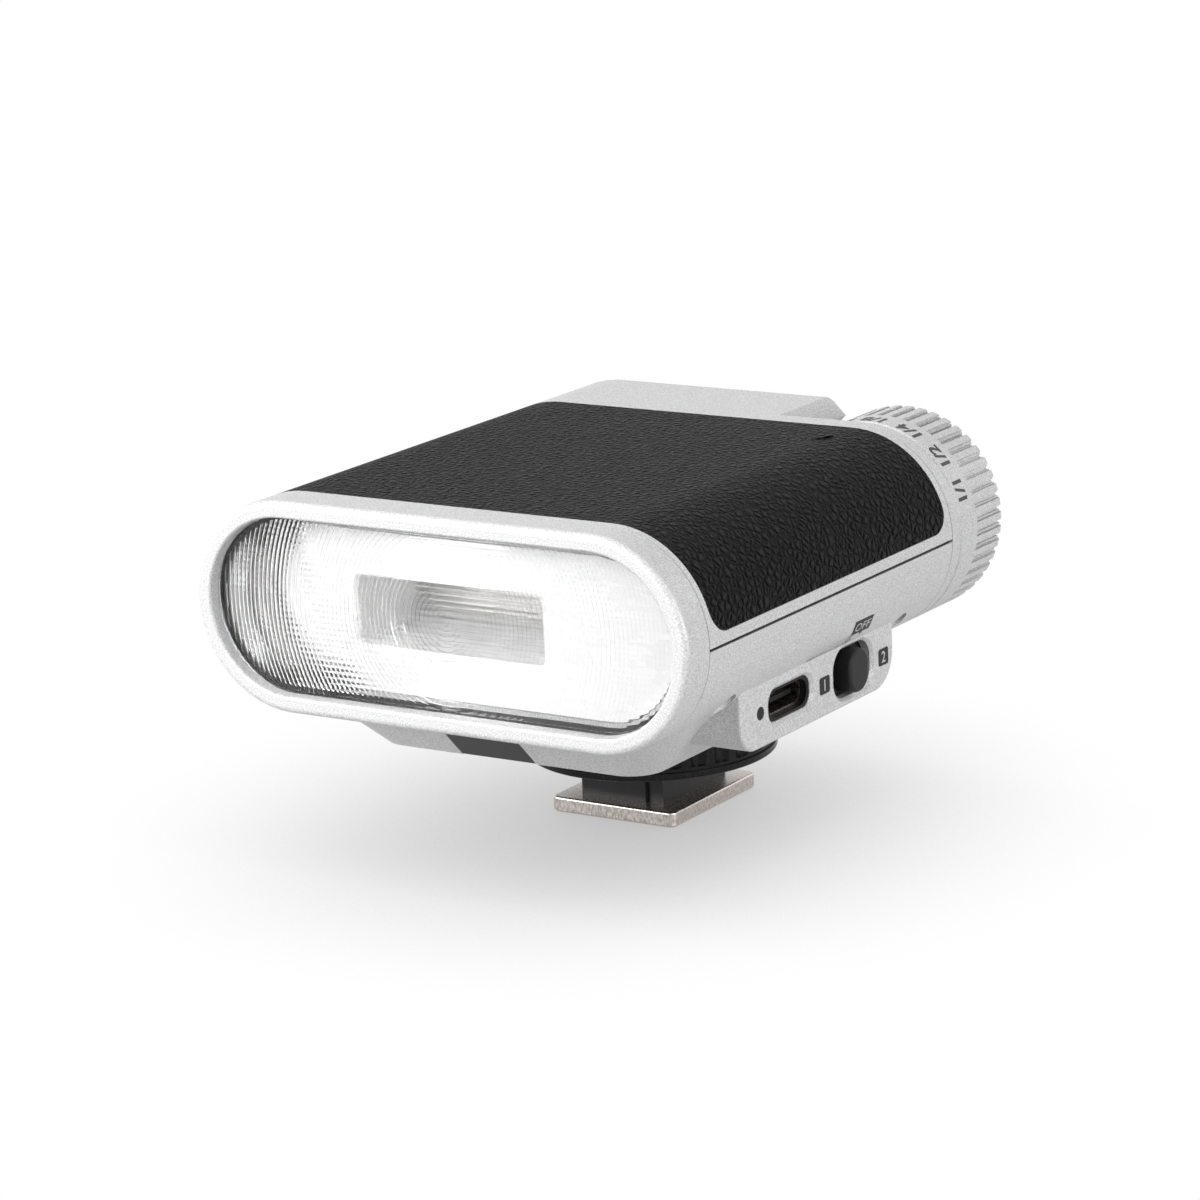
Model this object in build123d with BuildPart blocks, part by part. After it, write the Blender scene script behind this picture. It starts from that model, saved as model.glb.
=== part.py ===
from build123d import *
from math import hypot, sqrt
import os

os.makedirs("parts", exist_ok=True)

# A small shoe-mounted speedlight flash. All sizes are in millimetres.
# The origin is the centre of the foot plate's sole, +Z is up, the light faces -Y,
# and the controls are on the +X side.

# ---- driving dimensions ----
foot_w = 18.6          # the standard hot-shoe width
foot_l = 20.5
foot_t = 2.0
neck_w = 12.2          # slides between the shoe's rails
neck_l = 16.0
neck_h = 5.0
wheel_d = 32.4
wheel_h = 6.6
clamp_travel = 2.8     # how far the wheel winds its washer down
body_w = 71.4
body_h = 26.8
base_drop = 6.95       # from the body's belly down to the base's underside
rear_reach = 16.65     # from the foot's centre back to the end of the half shells
frame_depth = 4.85
frame_w = 2.15         # width of the painted frame round the light window
shell_len = 58.5
rim_t = 2.0
hump_depth = 12.7
dial_len = 11.3
wall = 1.8
board_t = 1.2

# ---- clearances ----
seam = 0.1             # between fixed pieces that meet
slack = 0.3            # round moving pieces
run = 0.05             # radial clearance of a shaft in its bearing
groove_w = 0.36        # open line between the two half shells

# ---- derived positions ----
end_r = body_h / 2
end_x = body_w / 2 - end_r
neck_top = foot_t + neck_h
base_z = neck_top + wheel_h + slack + seam
belly_z = base_z + base_drop
axis_z = belly_z + end_r
seam_z = axis_z - 0.4
shell_back = rear_reach
shell_front = shell_back - shell_len
frame_back = shell_front - seam
front_y = frame_back - frame_depth
rim_front = shell_back + seam
rim_back = rim_front + rim_t
rear_y = rim_back + hump_depth
dial_front = rim_back + slack
dial_back = dial_front + dial_len


def facing(y, x=0.0, z=axis_z):
    """Plane across the body at depth y, seen from the front: X right, Z up."""
    return Plane(origin=(x, y, z), x_dir=(1, 0, 0), z_dir=(0, -1, 0))


def beside(x, y=0.0, z=0.0):
    """Plane seen from the control side at width x: Y right, Z up."""
    return Plane(origin=(x, y, z), x_dir=(0, 1, 0), z_dir=(1, 0, 0))


def oval(inset=0.0, mode=Mode.ADD):
    """The body's section, with its rounded ends, drawn in the open sketch."""
    SlotOverall(body_w - 2 * inset, body_h - 2 * inset, mode=mode)


def inner_half_width(z, inset=wall):
    """Half the width of the body's section at height z."""
    r = end_r - inset
    return end_x + sqrt(max(r * r - (z - axis_z) ** 2, 0.0))


# The body's outer block, used to trim whatever stands on its curved walls.
with BuildPart() as body_block:
    with BuildSketch(facing(shell_front)):
        oval()
    extrude(amount=-shell_len)
body_solid = body_block.part

# ---------------------------------------------------------------- light window
# Painted frame round the window: rounded outside, with a ledge for the lens
# and a collar behind that plugs into the two half shells.
ledge_w = frame_w + 1.05
ledge_y = front_y + 3.6
collar_len = 2.0
lens_front = front_y + 1.5
gasket_t = 0.4
lens_back = ledge_y - gasket_t - 0.05

with BuildPart() as front_frame:
    with BuildSketch(facing(front_y)):
        oval()
    extrude(amount=-frame_depth)
    fillet(front_frame.edges().group_by(Axis.Y)[0], radius=0.9)
    with BuildSketch(facing(frame_back)):
        oval(wall + 0.15)
    extrude(amount=-collar_len)
    with BuildSketch(facing(front_y)):
        oval(ledge_w)
    extrude(amount=-(frame_depth + collar_len), mode=Mode.SUBTRACT)
    with BuildSketch(facing(front_y)):
        oval(frame_w)
    extrude(amount=-(ledge_y - front_y), mode=Mode.SUBTRACT)
    fillet(front_frame.edges().group_by(Axis.Y)[0].sort_by(SortBy.LENGTH)[:4], radius=0.35)
front_frame.part.label = "front_frame"
export_step(front_frame.part, "parts/front_frame.step")

# Foam gasket on the ledge, seen as a dark line through the lens's rim.
with BuildPart() as lens_gasket:
    with BuildSketch(facing(ledge_y - gasket_t)):
        oval(frame_w + 0.2)
        oval(ledge_w - 0.05, mode=Mode.SUBTRACT)
    extrude(amount=-(gasket_t - 0.02))
lens_gasket.part.label = "lens_gasket"
export_step(lens_gasket.part, "parts/lens_gasket.step")

# Moulded window: a plain front, and ring prisms on the back that share one centre.
lens_inset = frame_w + 0.15
prism_inset = ledge_w + 0.1
prism_h = 0.3
prism_pitch = 1.6
prism_count = int((body_w / 2 - prism_inset) / prism_pitch)

saw_points = [(0, -prism_h)]
for i in range(prism_count):
    saw_points += [(prism_pitch * i, 0), (prism_pitch * (i + 1), prism_h)]
saw_points += [(prism_pitch * prism_count, -prism_h)]

with BuildPart() as prism_rings:
    with BuildSketch(Plane.XY):
        Polygon(*saw_points, align=None)
    revolve(axis=Axis.Y)
ring_solid = Pos(0, lens_back, axis_z) * prism_rings.part

with BuildPart() as lens_prisms:
    with BuildSketch(facing(lens_back - prism_h / 2)):
        oval(prism_inset)
    extrude(amount=-2 * prism_h)
    add(ring_solid, mode=Mode.INTERSECT)
prism_solid = lens_prisms.part

with BuildPart() as fresnel_lens:
    with BuildSketch(facing(lens_front)):
        oval(lens_inset)
    extrude(amount=-(lens_back - lens_front))
    fillet(fresnel_lens.edges().group_by(Axis.Y)[0], radius=0.3)
    add(prism_solid)
fresnel_lens.part.label = "fresnel_lens"
export_step(fresnel_lens.part, "parts/fresnel_lens.step")

# ---------------------------------------------------------------- flash head
# Trough reflector: a round back close to the tube, walls that flare to the window,
# slanted ends, and a flange that lies behind the lens.
tube_r = 2.0
tube_y = ledge_y + 12.7
trough_r = tube_r + 1.2
mouth_h = 0.72 * (end_r - ledge_w)
mouth_x = end_x + 0.418 * end_r
throat_x = end_x - 5.0
sheet = 0.6
flange_y = ledge_y + 0.15


def trough(grow):
    """The trough's inside, grown all round by grow, as a solid block."""
    r = trough_r + grow
    top = mouth_h + grow
    with BuildPart() as block:
        with BuildSketch(beside(-body_w / 2, tube_y, axis_z)):
            with BuildLine():
                back = ThreePointArc((0, r), (r, 0), (0, -r))
                low = Spline(back @ 1, (flange_y - tube_y, -top), tangents=((-1, -0.8), (-1, -0.18)))
                mouth = Line(low @ 1, (flange_y - tube_y, top))
                Spline(mouth @ 1, back @ 0, tangents=((1, -0.18), (1, -0.8)))
            make_face()
        extrude(amount=body_w)
        with BuildSketch(Plane.XY.offset(axis_z - end_r)):
            Polygon(
                (-mouth_x - grow, flange_y),
                (mouth_x + grow, flange_y),
                (throat_x + grow, tube_y + r + 1),
                (-throat_x - grow, tube_y + r + 1),
                align=None,
            )
        extrude(amount=body_h, mode=Mode.INTERSECT)
    return block.part


trough_out = trough(sheet)
trough_in = trough(0.0)

with BuildPart() as reflector:
    add(trough_out)
    with BuildSketch(facing(flange_y)):
        oval(ledge_w + 0.15)
    extrude(amount=-sheet)
    add(trough_in, mode=Mode.SUBTRACT)
    with BuildSketch(beside(-body_w / 2, tube_y, axis_z)):
        Circle(tube_r + 0.35)
    extrude(amount=body_w, mode=Mode.SUBTRACT)
reflector.part.label = "reflector"
export_step(reflector.part, "parts/reflector.step")

# Xenon tube along the trough, with domed ends.
tube_half = throat_x + 7.3
with BuildPart() as xenon_tube:
    with BuildSketch(beside(-tube_half, tube_y, axis_z)):
        Circle(tube_r)
    extrude(amount=2 * tube_half)
    fillet(xenon_tube.edges().filter_by(GeomType.CIRCLE), radius=0.6)
xenon_tube.part.label = "xenon_tube"
export_step(xenon_tube.part, "parts/xenon_tube.step")

# Electrode pins on the tube's ends, outside the glass.
with BuildPart() as tube_pins:
    with Locations((-tube_half - 1.2, tube_y, axis_z), (tube_half + 1.2, tube_y, axis_z)):
        Cylinder(radius=0.45, height=2.2, rotation=(0, 90, 0))
tube_pins.part.label = "tube_pins"
export_step(tube_pins.part, "parts/tube_pins.step")

# Silicone sleeves that carry the tube just outside the reflector's ends.
sleeve_x = throat_x + 6.0
with BuildPart() as tube_sleeves:
    with Locations((-sleeve_x, tube_y, axis_z), (sleeve_x, tube_y, axis_z)):
        Cylinder(radius=tube_r + 1.1, height=1.2, rotation=(0, 90, 0))
        Cylinder(radius=tube_r + 0.05, height=2.0, rotation=(0, 90, 0), mode=Mode.SUBTRACT)
tube_sleeves.part.label = "tube_sleeves"
export_step(tube_sleeves.part, "parts/tube_sleeves.step")

# ---------------------------------------------------------------- pod layout
# The control pod holds the charge lamp, the socket and the slider in a row, and is as
# long as they need with the slider's plate at either end of its travel.
port_w, port_h, port_round = 10.1, 4.1, 1.7
slot_w, slot_h, slot_round = 9.4, 6.3, 2.6
slide_travel = 2.15
lamp_r = 0.8
bevel = 0.4
pod_skin = 0.9
pod_h = 7.93
liner_rim = 0.8
plate_len = slot_w + 2 * slide_travel - 0.2
plate_reach = plate_len / 2 + slide_travel
lamp_edge = 4.6
port_edge = lamp_edge + 2.15 + port_w / 2
slot_edge = plate_reach + 0.25 + pod_skin
pod_len = port_edge + port_w / 2 + liner_rim + 0.45 + plate_reach + slot_edge
pod_middle = (shell_front + shell_back) / 2 + 0.825
pod_front = pod_middle - pod_len / 2
pod_back = pod_middle + pod_len / 2
pod_x = end_x + 0.746 * end_r
pod_top = axis_z - sqrt(end_r**2 - (pod_x - end_x) ** 2)
pod_low = pod_top - pod_h

# ---------------------------------------------------------------- screw columns
# Four columns join the half shells. The screws go up from pockets in the belly's curve,
# one in front of the pod and one behind it on each side.
column_x = end_x + 0.665 * end_r
column_r = 2.5
column_front = pod_front - 1.9
column_back = pod_back + 2.4
head_step_z = belly_z + 7.0
column_spots = [(sx * column_x, y) for sx in (-1, 1) for y in (column_front, column_back)]

# ---------------------------------------------------------------- top shell and leather
leather_t = 0.6
leather_front = shell_front + 1.05
leather_back = shell_back - 1.25
leather_low = axis_z + 1.25
leather_round = 3.0


def wrap(outside, inside, grow):
    """Band of the body's skin that the leather covers, grown by grow at its edges."""
    low = leather_low - grow
    high = axis_z + end_r + 2
    with BuildPart() as band:
        with BuildSketch(facing(leather_front - grow)):
            oval(outside)
            oval(inside, mode=Mode.SUBTRACT)
        extrude(amount=-(leather_back - leather_front + 2 * grow))
        with BuildSketch(beside(-body_w)) as side:
            with Locations(((leather_front + leather_back) / 2, (low + high) / 2)):
                Rectangle(leather_back - leather_front + 2 * grow, high - low)
            fillet(side.vertices().group_by(Axis.Y)[0], radius=leather_round + grow)
        extrude(amount=2 * body_w, mode=Mode.INTERSECT)
    return band.part


recess_cut = wrap(-1.0, leather_t, 0.08)
leather_band = wrap(0.0, leather_t - 0.03, 0.0)

with BuildPart() as top_shell:
    with BuildSketch(facing(shell_front)):
        oval()
        oval(wall, mode=Mode.SUBTRACT)
    extrude(amount=-shell_len)
    with BuildSketch(Plane.XY.offset(seam_z)):
        with Locations(*column_spots):
            Circle(column_r)
    extrude(amount=end_r)
    add(body_solid, mode=Mode.INTERSECT)
    split(bisect_by=Plane.XY.offset(seam_z + groove_w / 2), keep=Keep.TOP)
    # rebate that takes the lower shell's tongue
    with BuildSketch(facing(shell_front)):
        with Locations((0, seam_z + 0.9 - axis_z)):
            Rectangle(body_w - 2 * (wall - 0.9), 1.8)
        with Locations((0, seam_z + 0.9 - axis_z)):
            Rectangle(body_w - 2 * wall - 0.3, 3, mode=Mode.SUBTRACT)
    extrude(amount=-shell_len, mode=Mode.SUBTRACT)
    with BuildSketch(Plane.XY.offset(seam_z)):
        with Locations(*column_spots):
            Circle(0.9)
    extrude(amount=7, mode=Mode.SUBTRACT)
    add(recess_cut, mode=Mode.SUBTRACT)
top_shell.part.label = "top_shell"
export_step(top_shell.part, "parts/top_shell.step")

# Leather cover, bent round the top shell and let into its recess. An index mark, pressed
# into it above the dial's centre line, points back at the dial's numbers.
mark_tip = shell_back - 5.9
mark_l, mark_w = 3.4, 2.9
with BuildPart() as leather_wrap:
    add(leather_band)
    with BuildSketch(Plane.XY.offset(axis_z + end_r - 0.22)):
        Polygon(
            (end_x, mark_tip),
            (end_x - mark_w / 2, mark_tip - mark_l),
            (end_x + mark_w / 2, mark_tip - mark_l),
            align=None,
        )
    extrude(amount=1, mode=Mode.SUBTRACT)
leather_wrap.part.label = "leather_wrap"
export_step(leather_wrap.part, "parts/leather_wrap.step")

# ---------------------------------------------------------------- base and pod shapes
plate_l, plate_t = 21.0, 1.5
base_wall = wall * 1.25
base_half = end_x + 0.35 * end_r - base_drop
base_front = shell_front + base_drop + 2.1
base_back = plate_l / 2 + base_wall - 0.3
base_top = belly_z + wall
back_lean = (shell_back - 0.7 - base_back) / (base_top - base_z)


def base_block(inset, low, high):
    """The base as a block whose front and sides lean out at 45 degrees."""
    with BuildPart() as block:
        for z in (low, high):
            rise = z - base_z
            half = base_half + rise - inset
            near = base_front - rise + inset
            far = base_back + rise * back_lean - inset
            with BuildSketch(Plane.XY.offset(z)):
                with Locations((0, (near + far) / 2)):
                    RectangleRounded(2 * half, far - near, max(4.2 + 0.45 * rise - 0.4 * inset, 0.8))
        loft()
    return block.part


def pod_block(inset, face, back_x):
    """The control pod as a block from its flat face in to back_x."""
    front, back = pod_front + inset, pod_back - inset
    low, high = pod_low + inset, pod_top + 1.6
    with BuildPart() as block:
        with BuildSketch(beside(face)) as side:
            with Locations(((front + back) / 2, (low + high) / 2)):
                Rectangle(back - front, high - low)
            near = side.vertices().group_by(Axis.Y)[0].sort_by(Axis.X)[0]
            fillet(near, radius=max(3.4 - inset, 0.8))
            far = side.vertices().group_by(Axis.Y)[0].sort_by(Axis.X)[-1]
            fillet(far, radius=max(4.6 - inset, 0.8))
        extrude(amount=back_x - face)
    return block.part


base_out = base_block(0.0, base_z, base_top)
base_in = base_block(base_wall, base_z + wall, base_top + 1.5)
pod_out = pod_block(0.0, pod_x, end_x - 2)
pod_wall = wall - 0.3
pod_in = pod_block(pod_skin, pod_x - pod_wall, end_x - 3)

# Openings in the pod's face.
port_y = pod_front + port_edge
port_z = pod_top - 3.58
slot_y = pod_back - slot_edge
slot_z = pod_top - 3.73
lamp_y = pod_front + lamp_edge
window_x, window_w = -1.2, 11.0
bar_y = (port_y + slot_y) / 2 + 1.0

# Inner levels: the floor of the base, the control board and the main board.
floor_z = base_z + wall
io_top = port_z - 1.62
io_low = io_top - board_t
board_z = belly_z + 3.5
post_r = 1.9
post_x = base_half - 3.0
post_front = base_front + 3.8
post_back = base_back - 3.0
post_spots = [(sx * post_x, y) for sx in (-1, 1) for y in (post_front, post_back)]
cover_x = pod_x - pod_wall - 1.1
io_x0, io_x1 = post_x - 5.0, cover_x - 0.3
io_y0, io_y1 = post_front + 2.4, pod_back - 3.0
stem_r = 7.0
plate_w = 2 * (post_x - post_r - 1.14)
mount_spots = [(sx * (plate_w / 2 - 3.4), sy * (plate_l / 2 - 3.1)) for sx in (-1, 1) for sy in (-1, 1)]

with BuildPart() as bar_press:
    with BuildSketch(facing(bar_y - 5.2)):
        oval(-1.0)
        oval(0.3, mode=Mode.SUBTRACT)
    extrude(amount=-10.4)
    with BuildSketch(beside(end_x)):
        with Locations((bar_y, pod_top + 0.65)):
            Rectangle(10.4, 1.3)
    extrude(amount=2 * end_r, mode=Mode.INTERSECT)
bar_cut = bar_press.part

with BuildPart() as lower_shell:
    add(body_solid)
    add(base_out)
    add(pod_out)
    # flat below the seam
    split(bisect_by=Plane.XY.offset(seam_z - groove_w / 2), keep=Keep.BOTTOM)
    # hollow: body, base and pod open into one another
    with BuildSketch(facing(shell_front)):
        oval(wall)
    extrude(amount=-shell_len, mode=Mode.SUBTRACT)
    add(base_in, mode=Mode.SUBTRACT)
    add(pod_in, mode=Mode.SUBTRACT)
    # soft edges round the pod's face
    rim = lower_shell.edges().filter_by_position(Axis.X, pod_x - 0.01, pod_x + 0.01)
    fillet(rim.filter_by_position(Axis.Z, pod_low - 0.1, pod_top - 0.3), radius=0.4)
    # tongue along both long edges, behind the open line
    with BuildSketch(facing(shell_front)):
        for sx in (-1, 1):
            with Locations((sx * (body_w / 2 - wall + 0.4), seam_z - axis_z + 0.1)):
                Rectangle(0.8, 2.2)
    extrude(amount=-shell_len)
    # screw columns, trimmed to the body's skin
    with BuildPart(mode=Mode.PRIVATE) as columns:
        with BuildSketch(Plane.XY.offset(belly_z)):
            with Locations(*column_spots):
                Circle(column_r)
        extrude(amount=seam_z - groove_w / 2 - belly_z)
        add(body_solid, mode=Mode.INTERSECT)
    add(columns.part)
    # posts for the boards and bosses for the stem's plate
    with BuildSketch(Plane.XY.offset(floor_z - 0.5)):
        with Locations(*post_spots):
            Circle(post_r)
    extrude(amount=board_z - floor_z + 0.5)
    with BuildSketch(Plane.XY.offset(floor_z - 0.5)):
        with Locations((io_x0 + 7, io_y0 + 3), (io_x0 + 7, io_y1 - 3)):
            Circle(1.6)
    extrude(amount=io_low - floor_z + 0.5)
    # screw bores
    with BuildSketch(Plane.XY.offset(base_z)):
        with Locations(*column_spots):
            Circle(1.5)
    extrude(amount=head_step_z - base_z, mode=Mode.SUBTRACT)
    with BuildSketch(Plane.XY.offset(base_z)):
        with Locations(*column_spots):
            Circle(1.0)
    extrude(amount=seam_z - base_z + 1, mode=Mode.SUBTRACT)
    with BuildSketch(Plane.XY.offset(board_z - 5)):
        with Locations(*post_spots):
            Circle(0.75)
    extrude(amount=5, mode=Mode.SUBTRACT)
    with BuildSketch(Plane.XY.offset(base_z + 0.6)):
        with Locations(*mount_spots):
            Circle(0.75)
    extrude(amount=wall, mode=Mode.SUBTRACT)
    # stem hole
    with BuildSketch(Plane.XY.offset(base_z - 1)):
        Circle(stem_r + 0.1)
    extrude(amount=wall + 2, mode=Mode.SUBTRACT)
    # openings in the pod's face, each with a bevel
    with BuildSketch(beside(pod_x - 2 * wall)):
        with Locations((port_y, port_z)):
            RectangleRounded(port_w, port_h, port_round)
        with Locations((slot_y, slot_z)):
            RectangleRounded(slot_w, slot_h, slot_round)
        with Locations((lamp_y, port_z)):
            Circle(lamp_r + 0.05)
    extrude(amount=3 * wall, mode=Mode.SUBTRACT)
    mouths = lower_shell.edges().filter_by_position(Axis.X, pod_x - 0.01, pod_x + 0.01)
    mouths = mouths.filter_by_position(Axis.Y, port_y - port_w / 2 - 0.1, slot_y + slot_w / 2 + 0.1)
    mouths = mouths.filter_by_position(Axis.Z, pod_low + 0.6, pod_top - 0.1)
    chamfer(mouths, length=bevel)
    # opening for the receiver's window in the front slope
    with BuildSketch(Plane.XY.offset(base_z - 1)):
        with Locations((window_x, base_front - 3.2)):
            Rectangle(window_w, 8.4)
    extrude(amount=belly_z - 0.6 - base_z + 1, mode=Mode.SUBTRACT)
    # shallow bar pressed into the skin above the pod
    add(bar_cut, mode=Mode.SUBTRACT)
lower_shell.part.label = "lower_shell"
export_step(lower_shell.part, "parts/lower_shell.step")

# Dark window let into the front slope for the light receiver. It keeps the slope's
# own form and turns the lower edge.
with BuildPart() as sensor_window:
    add(base_block(0.08, base_z + 0.08, base_top))
    with BuildSketch(Plane.XY.offset(base_z)):
        with Locations((window_x, base_front - 3.2)):
            Rectangle(window_w - 2 * seam, 8.4 - 2 * seam)
    extrude(amount=belly_z - 0.7 - base_z, mode=Mode.INTERSECT)
    add(base_in, mode=Mode.SUBTRACT)
sensor_window.part.label = "sensor_window"
export_step(sensor_window.part, "parts/sensor_window.step")

# Receiver diode on a small carrier behind the window.
diode_y = base_front + 3.4
with BuildPart() as receiver_diode:
    with BuildSketch(Plane.XY.offset(floor_z + 0.05)):
        with Locations((window_x, diode_y)):
            Rectangle(5, 2)
    extrude(amount=4.6)
    with Locations((window_x, diode_y - 1.0, floor_z + 2.9)):
        Sphere(radius=1.3)
receiver_diode.part.label = "receiver_diode"
export_step(receiver_diode.part, "parts/receiver_diode.step")

# ---------------------------------------------------------------- rear housing
# Rim and bulkhead behind the shells, a hollow hump that carries the body's section back
# on the left, and a round wall that leaves room for the dial.
dial_r = end_r
dial_room = dial_r + 1.6
hump_edge = end_x - 0.945 * end_r
bushing_r = 3.8
button_x = -14.0
button_r = 3.6
spigot = 2.0
spigot_t = 1.25


def hump(inset, depth_y, length):
    """The hump's block from depth_y back by length, drawn in by inset."""
    cut = dial_room + inset
    edge = hump_edge - 0.6 * inset
    high = end_r - inset
    with BuildPart() as block:
        with BuildSketch(facing(depth_y)):
            oval(inset)
            with Locations((end_x, 0)):
                Circle(cut, mode=Mode.SUBTRACT)
            for up in (1, -1):
                Polygon(
                    (edge, up * high),
                    (edge, up * (high + 2)),
                    (edge + 16, up * (high + 2)),
                    (edge + 16, up * (high - 16)),
                    align=None,
                    mode=Mode.SUBTRACT,
                )
        extrude(amount=-length)
    return block.part


hump_out = hump(0.0, rim_back, hump_depth)
hump_in = hump(wall, rim_front - 0.5, rim_t + hump_depth + 0.5 - wall)

with BuildPart() as rear_housing:
    with BuildSketch(facing(rim_back)):
        oval()
    extrude(amount=-hump_depth)
    fillet(rear_housing.edges().group_by(Axis.Y)[-1], radius=0.9)
    add(hump_out, mode=Mode.INTERSECT)
    # hole for the test button, with a shallow dish round it
    with BuildSketch(facing(rear_y, button_x)):
        Circle(button_r + 1.1)
    extrude(amount=0.5, mode=Mode.SUBTRACT)
    with BuildSketch(facing(rear_y, button_x)):
        Circle(button_r + 0.15)
    extrude(amount=2 * wall, mode=Mode.SUBTRACT)
    with BuildSketch(facing(rim_front)):
        oval()
    extrude(amount=-rim_t)
    with BuildSketch(facing(rim_front - spigot)):
        oval(wall + 0.15)
        oval(wall + spigot_t, mode=Mode.SUBTRACT)
    extrude(amount=-spigot)
    add(hump_in, mode=Mode.SUBTRACT)
    # bearing hole for the encoder's bushing
    with Locations((end_x, (rim_front + rim_back) / 2, axis_z)):
        Cylinder(radius=bushing_r + 0.1, height=2 * rim_t, rotation=(90, 0, 0), mode=Mode.SUBTRACT)
    # two posts that carry the button's board
    with BuildSketch(facing(rear_y - wall + 0.2, button_x)):
        with Locations((-6.6, 0), (6.6, 0)):
            Circle(1.5)
    extrude(amount=3.6)
    with BuildSketch(facing(rear_y - wall, button_x)):
        with Locations((-6.6, 0), (6.6, 0)):
            Circle(0.6)
    extrude(amount=3.6, mode=Mode.SUBTRACT)
rear_housing.part.label = "rear_housing"
export_step(rear_housing.part, "parts/rear_housing.step")

# Test button: a plain cap with a flange that keeps it in its hole.
button_travel = 0.5
button_in = rear_y - wall - 1.0
with BuildPart() as test_button:
    with BuildSketch(facing(rear_y + 0.3, button_x)):
        Circle(button_r)
    extrude(amount=rear_y + 0.3 - button_in)
    fillet(test_button.edges().group_by(Axis.Y)[-1], radius=0.35)
    with BuildSketch(facing(rear_y - wall - 0.05, button_x)):
        Circle(button_r + 0.9)
    extrude(amount=0.9)
test_button.part.label = "test_button"
export_step(test_button.part, "parts/test_button.step")

# Button board with its click switch.
bb_y = rear_y - wall - 3.45
with BuildPart() as button_board:
    with BuildSketch(facing(bb_y, button_x)):
        RectangleRounded(17.4, 11, 1.0)
        with Locations((-6.6, 0), (6.6, 0)):
            Circle(0.7, mode=Mode.SUBTRACT)
    extrude(amount=1.0)
    with BuildSketch(facing(bb_y, button_x)):
        RectangleRounded(5.2, 5.2, 0.4)
    extrude(amount=-1.1)
    with BuildSketch(facing(bb_y + 1.1, button_x)):
        Circle(1.4)
    extrude(amount=-(button_in - button_travel - 0.1 - bb_y - 1.1))
button_board.part.label = "button_board"
export_step(button_board.part, "parts/button_board.step")

# Two small screws that hold the button's board on its posts.
with BuildPart() as button_screws:
    with BuildSketch(facing(bb_y - 1.05, button_x)):
        with Locations((-6.6, 0), (6.6, 0)):
            Circle(1.1)
    extrude(amount=0.8)
    with BuildSketch(facing(bb_y - 1.05, button_x)):
        with Locations((-6.6, 0), (6.6, 0)):
            Circle(0.55)
    extrude(amount=-3.6)
button_screws.part.label = "button_screws"
export_step(button_screws.part, "parts/button_screws.step")

# ---------------------------------------------------------------- power dial
# A smooth numbered band, then flat-topped ribs with stepped grooves between them.
band_len = 4.25
rib_count = 45
shaft_r = 3.0
hub_r = 5.2
cap_r = 10.4
with BuildPart() as power_dial:
    with BuildSketch(facing(dial_front, end_x)):
        Circle(dial_r)
    extrude(amount=-dial_len)
    fillet(power_dial.edges().group_by(Axis.Y)[-1], radius=0.8)
    chamfer(power_dial.edges().group_by(Axis.Y)[0], length=0.25)
    with BuildSketch(facing(dial_front + band_len, end_x)):
        with PolarLocations(dial_r, rib_count, start_angle=180 / rib_count):
            Rectangle(1.1, 0.95)
        with PolarLocations(dial_r - 0.5, rib_count, start_angle=180 / rib_count):
            Rectangle(0.7, 0.42)
    extrude(amount=-dial_len, mode=Mode.SUBTRACT)
    # hollow front with a hub
    with BuildSketch(facing(dial_front, end_x)):
        Circle(dial_r - 2.4)
        Circle(hub_r, mode=Mode.SUBTRACT)
    extrude(amount=-(dial_len - 3.0), mode=Mode.SUBTRACT)
    # hub stands clear of the bushing's nut
    with BuildSketch(facing(dial_front, end_x)):
        Circle(dial_r - 2.4)
    extrude(amount=-2.4, mode=Mode.SUBTRACT)
    # seat for the end cap and the shaft's bore
    with BuildSketch(facing(dial_back - 1.2, end_x)):
        Circle(cap_r + 0.08)
    extrude(amount=-1.2, mode=Mode.SUBTRACT)
    with BuildSketch(facing(dial_front, end_x)):
        Circle(shaft_r + run)
    extrude(amount=-dial_len, mode=Mode.SUBTRACT)
power_dial.part.label = "power_dial"
export_step(power_dial.part, "parts/power_dial.step")

# End cap of the dial: a disc with a turned ring.
with BuildPart() as dial_cap:
    with BuildSketch(facing(dial_back - 1.15, end_x)):
        Circle(cap_r)
    extrude(amount=-1.1)
    chamfer(dial_cap.edges().group_by(Axis.Y)[-1], length=0.3)
    with BuildSketch(facing(dial_back - 0.3, end_x)):
        Circle(cap_r - 1.6)
        Circle(cap_r - 2.2, mode=Mode.SUBTRACT)
    extrude(amount=-1, mode=Mode.SUBTRACT)
dial_cap.part.label = "dial_cap"
export_step(dial_cap.part, "parts/dial_cap.step")

# Rotary encoder on the bulkhead: body, threaded bushing; the shaft turns inside it.
encoder_y = rim_front - 0.1
encoder_len = 7.0
encoder_w = 10.6
with BuildPart() as encoder:
    with BuildSketch(facing(encoder_y, end_x)):
        RectangleRounded(encoder_w, encoder_w, 0.6)
    extrude(amount=encoder_len)
    with BuildSketch(facing(encoder_y, end_x)):
        Circle(bushing_r)
    extrude(amount=-(rim_t + 2.0))
    with BuildSketch(facing(rim_back + 0.02, end_x)):
        RegularPolygon(radius=5.0, side_count=6)
    extrude(amount=-1.5)
    with BuildSketch(facing(rim_back + 5, end_x)):
        Circle(shaft_r + run)
    extrude(amount=encoder_len + 5, mode=Mode.SUBTRACT)
encoder.part.label = "encoder"
export_step(encoder.part, "parts/encoder.step")

with BuildPart() as dial_shaft:
    with BuildSketch(facing(encoder_y - 2.0, end_x)):
        Circle(shaft_r)
    extrude(amount=-(dial_back - 1.3 - encoder_y + 2.0))
    with Locations((end_x, dial_back - 3.2, axis_z)):
        Cylinder(radius=0.8, height=8, rotation=(90, 0, 0), mode=Mode.SUBTRACT)
dial_shaft.part.label = "dial_shaft"
export_step(dial_shaft.part, "parts/dial_shaft.step")

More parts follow.
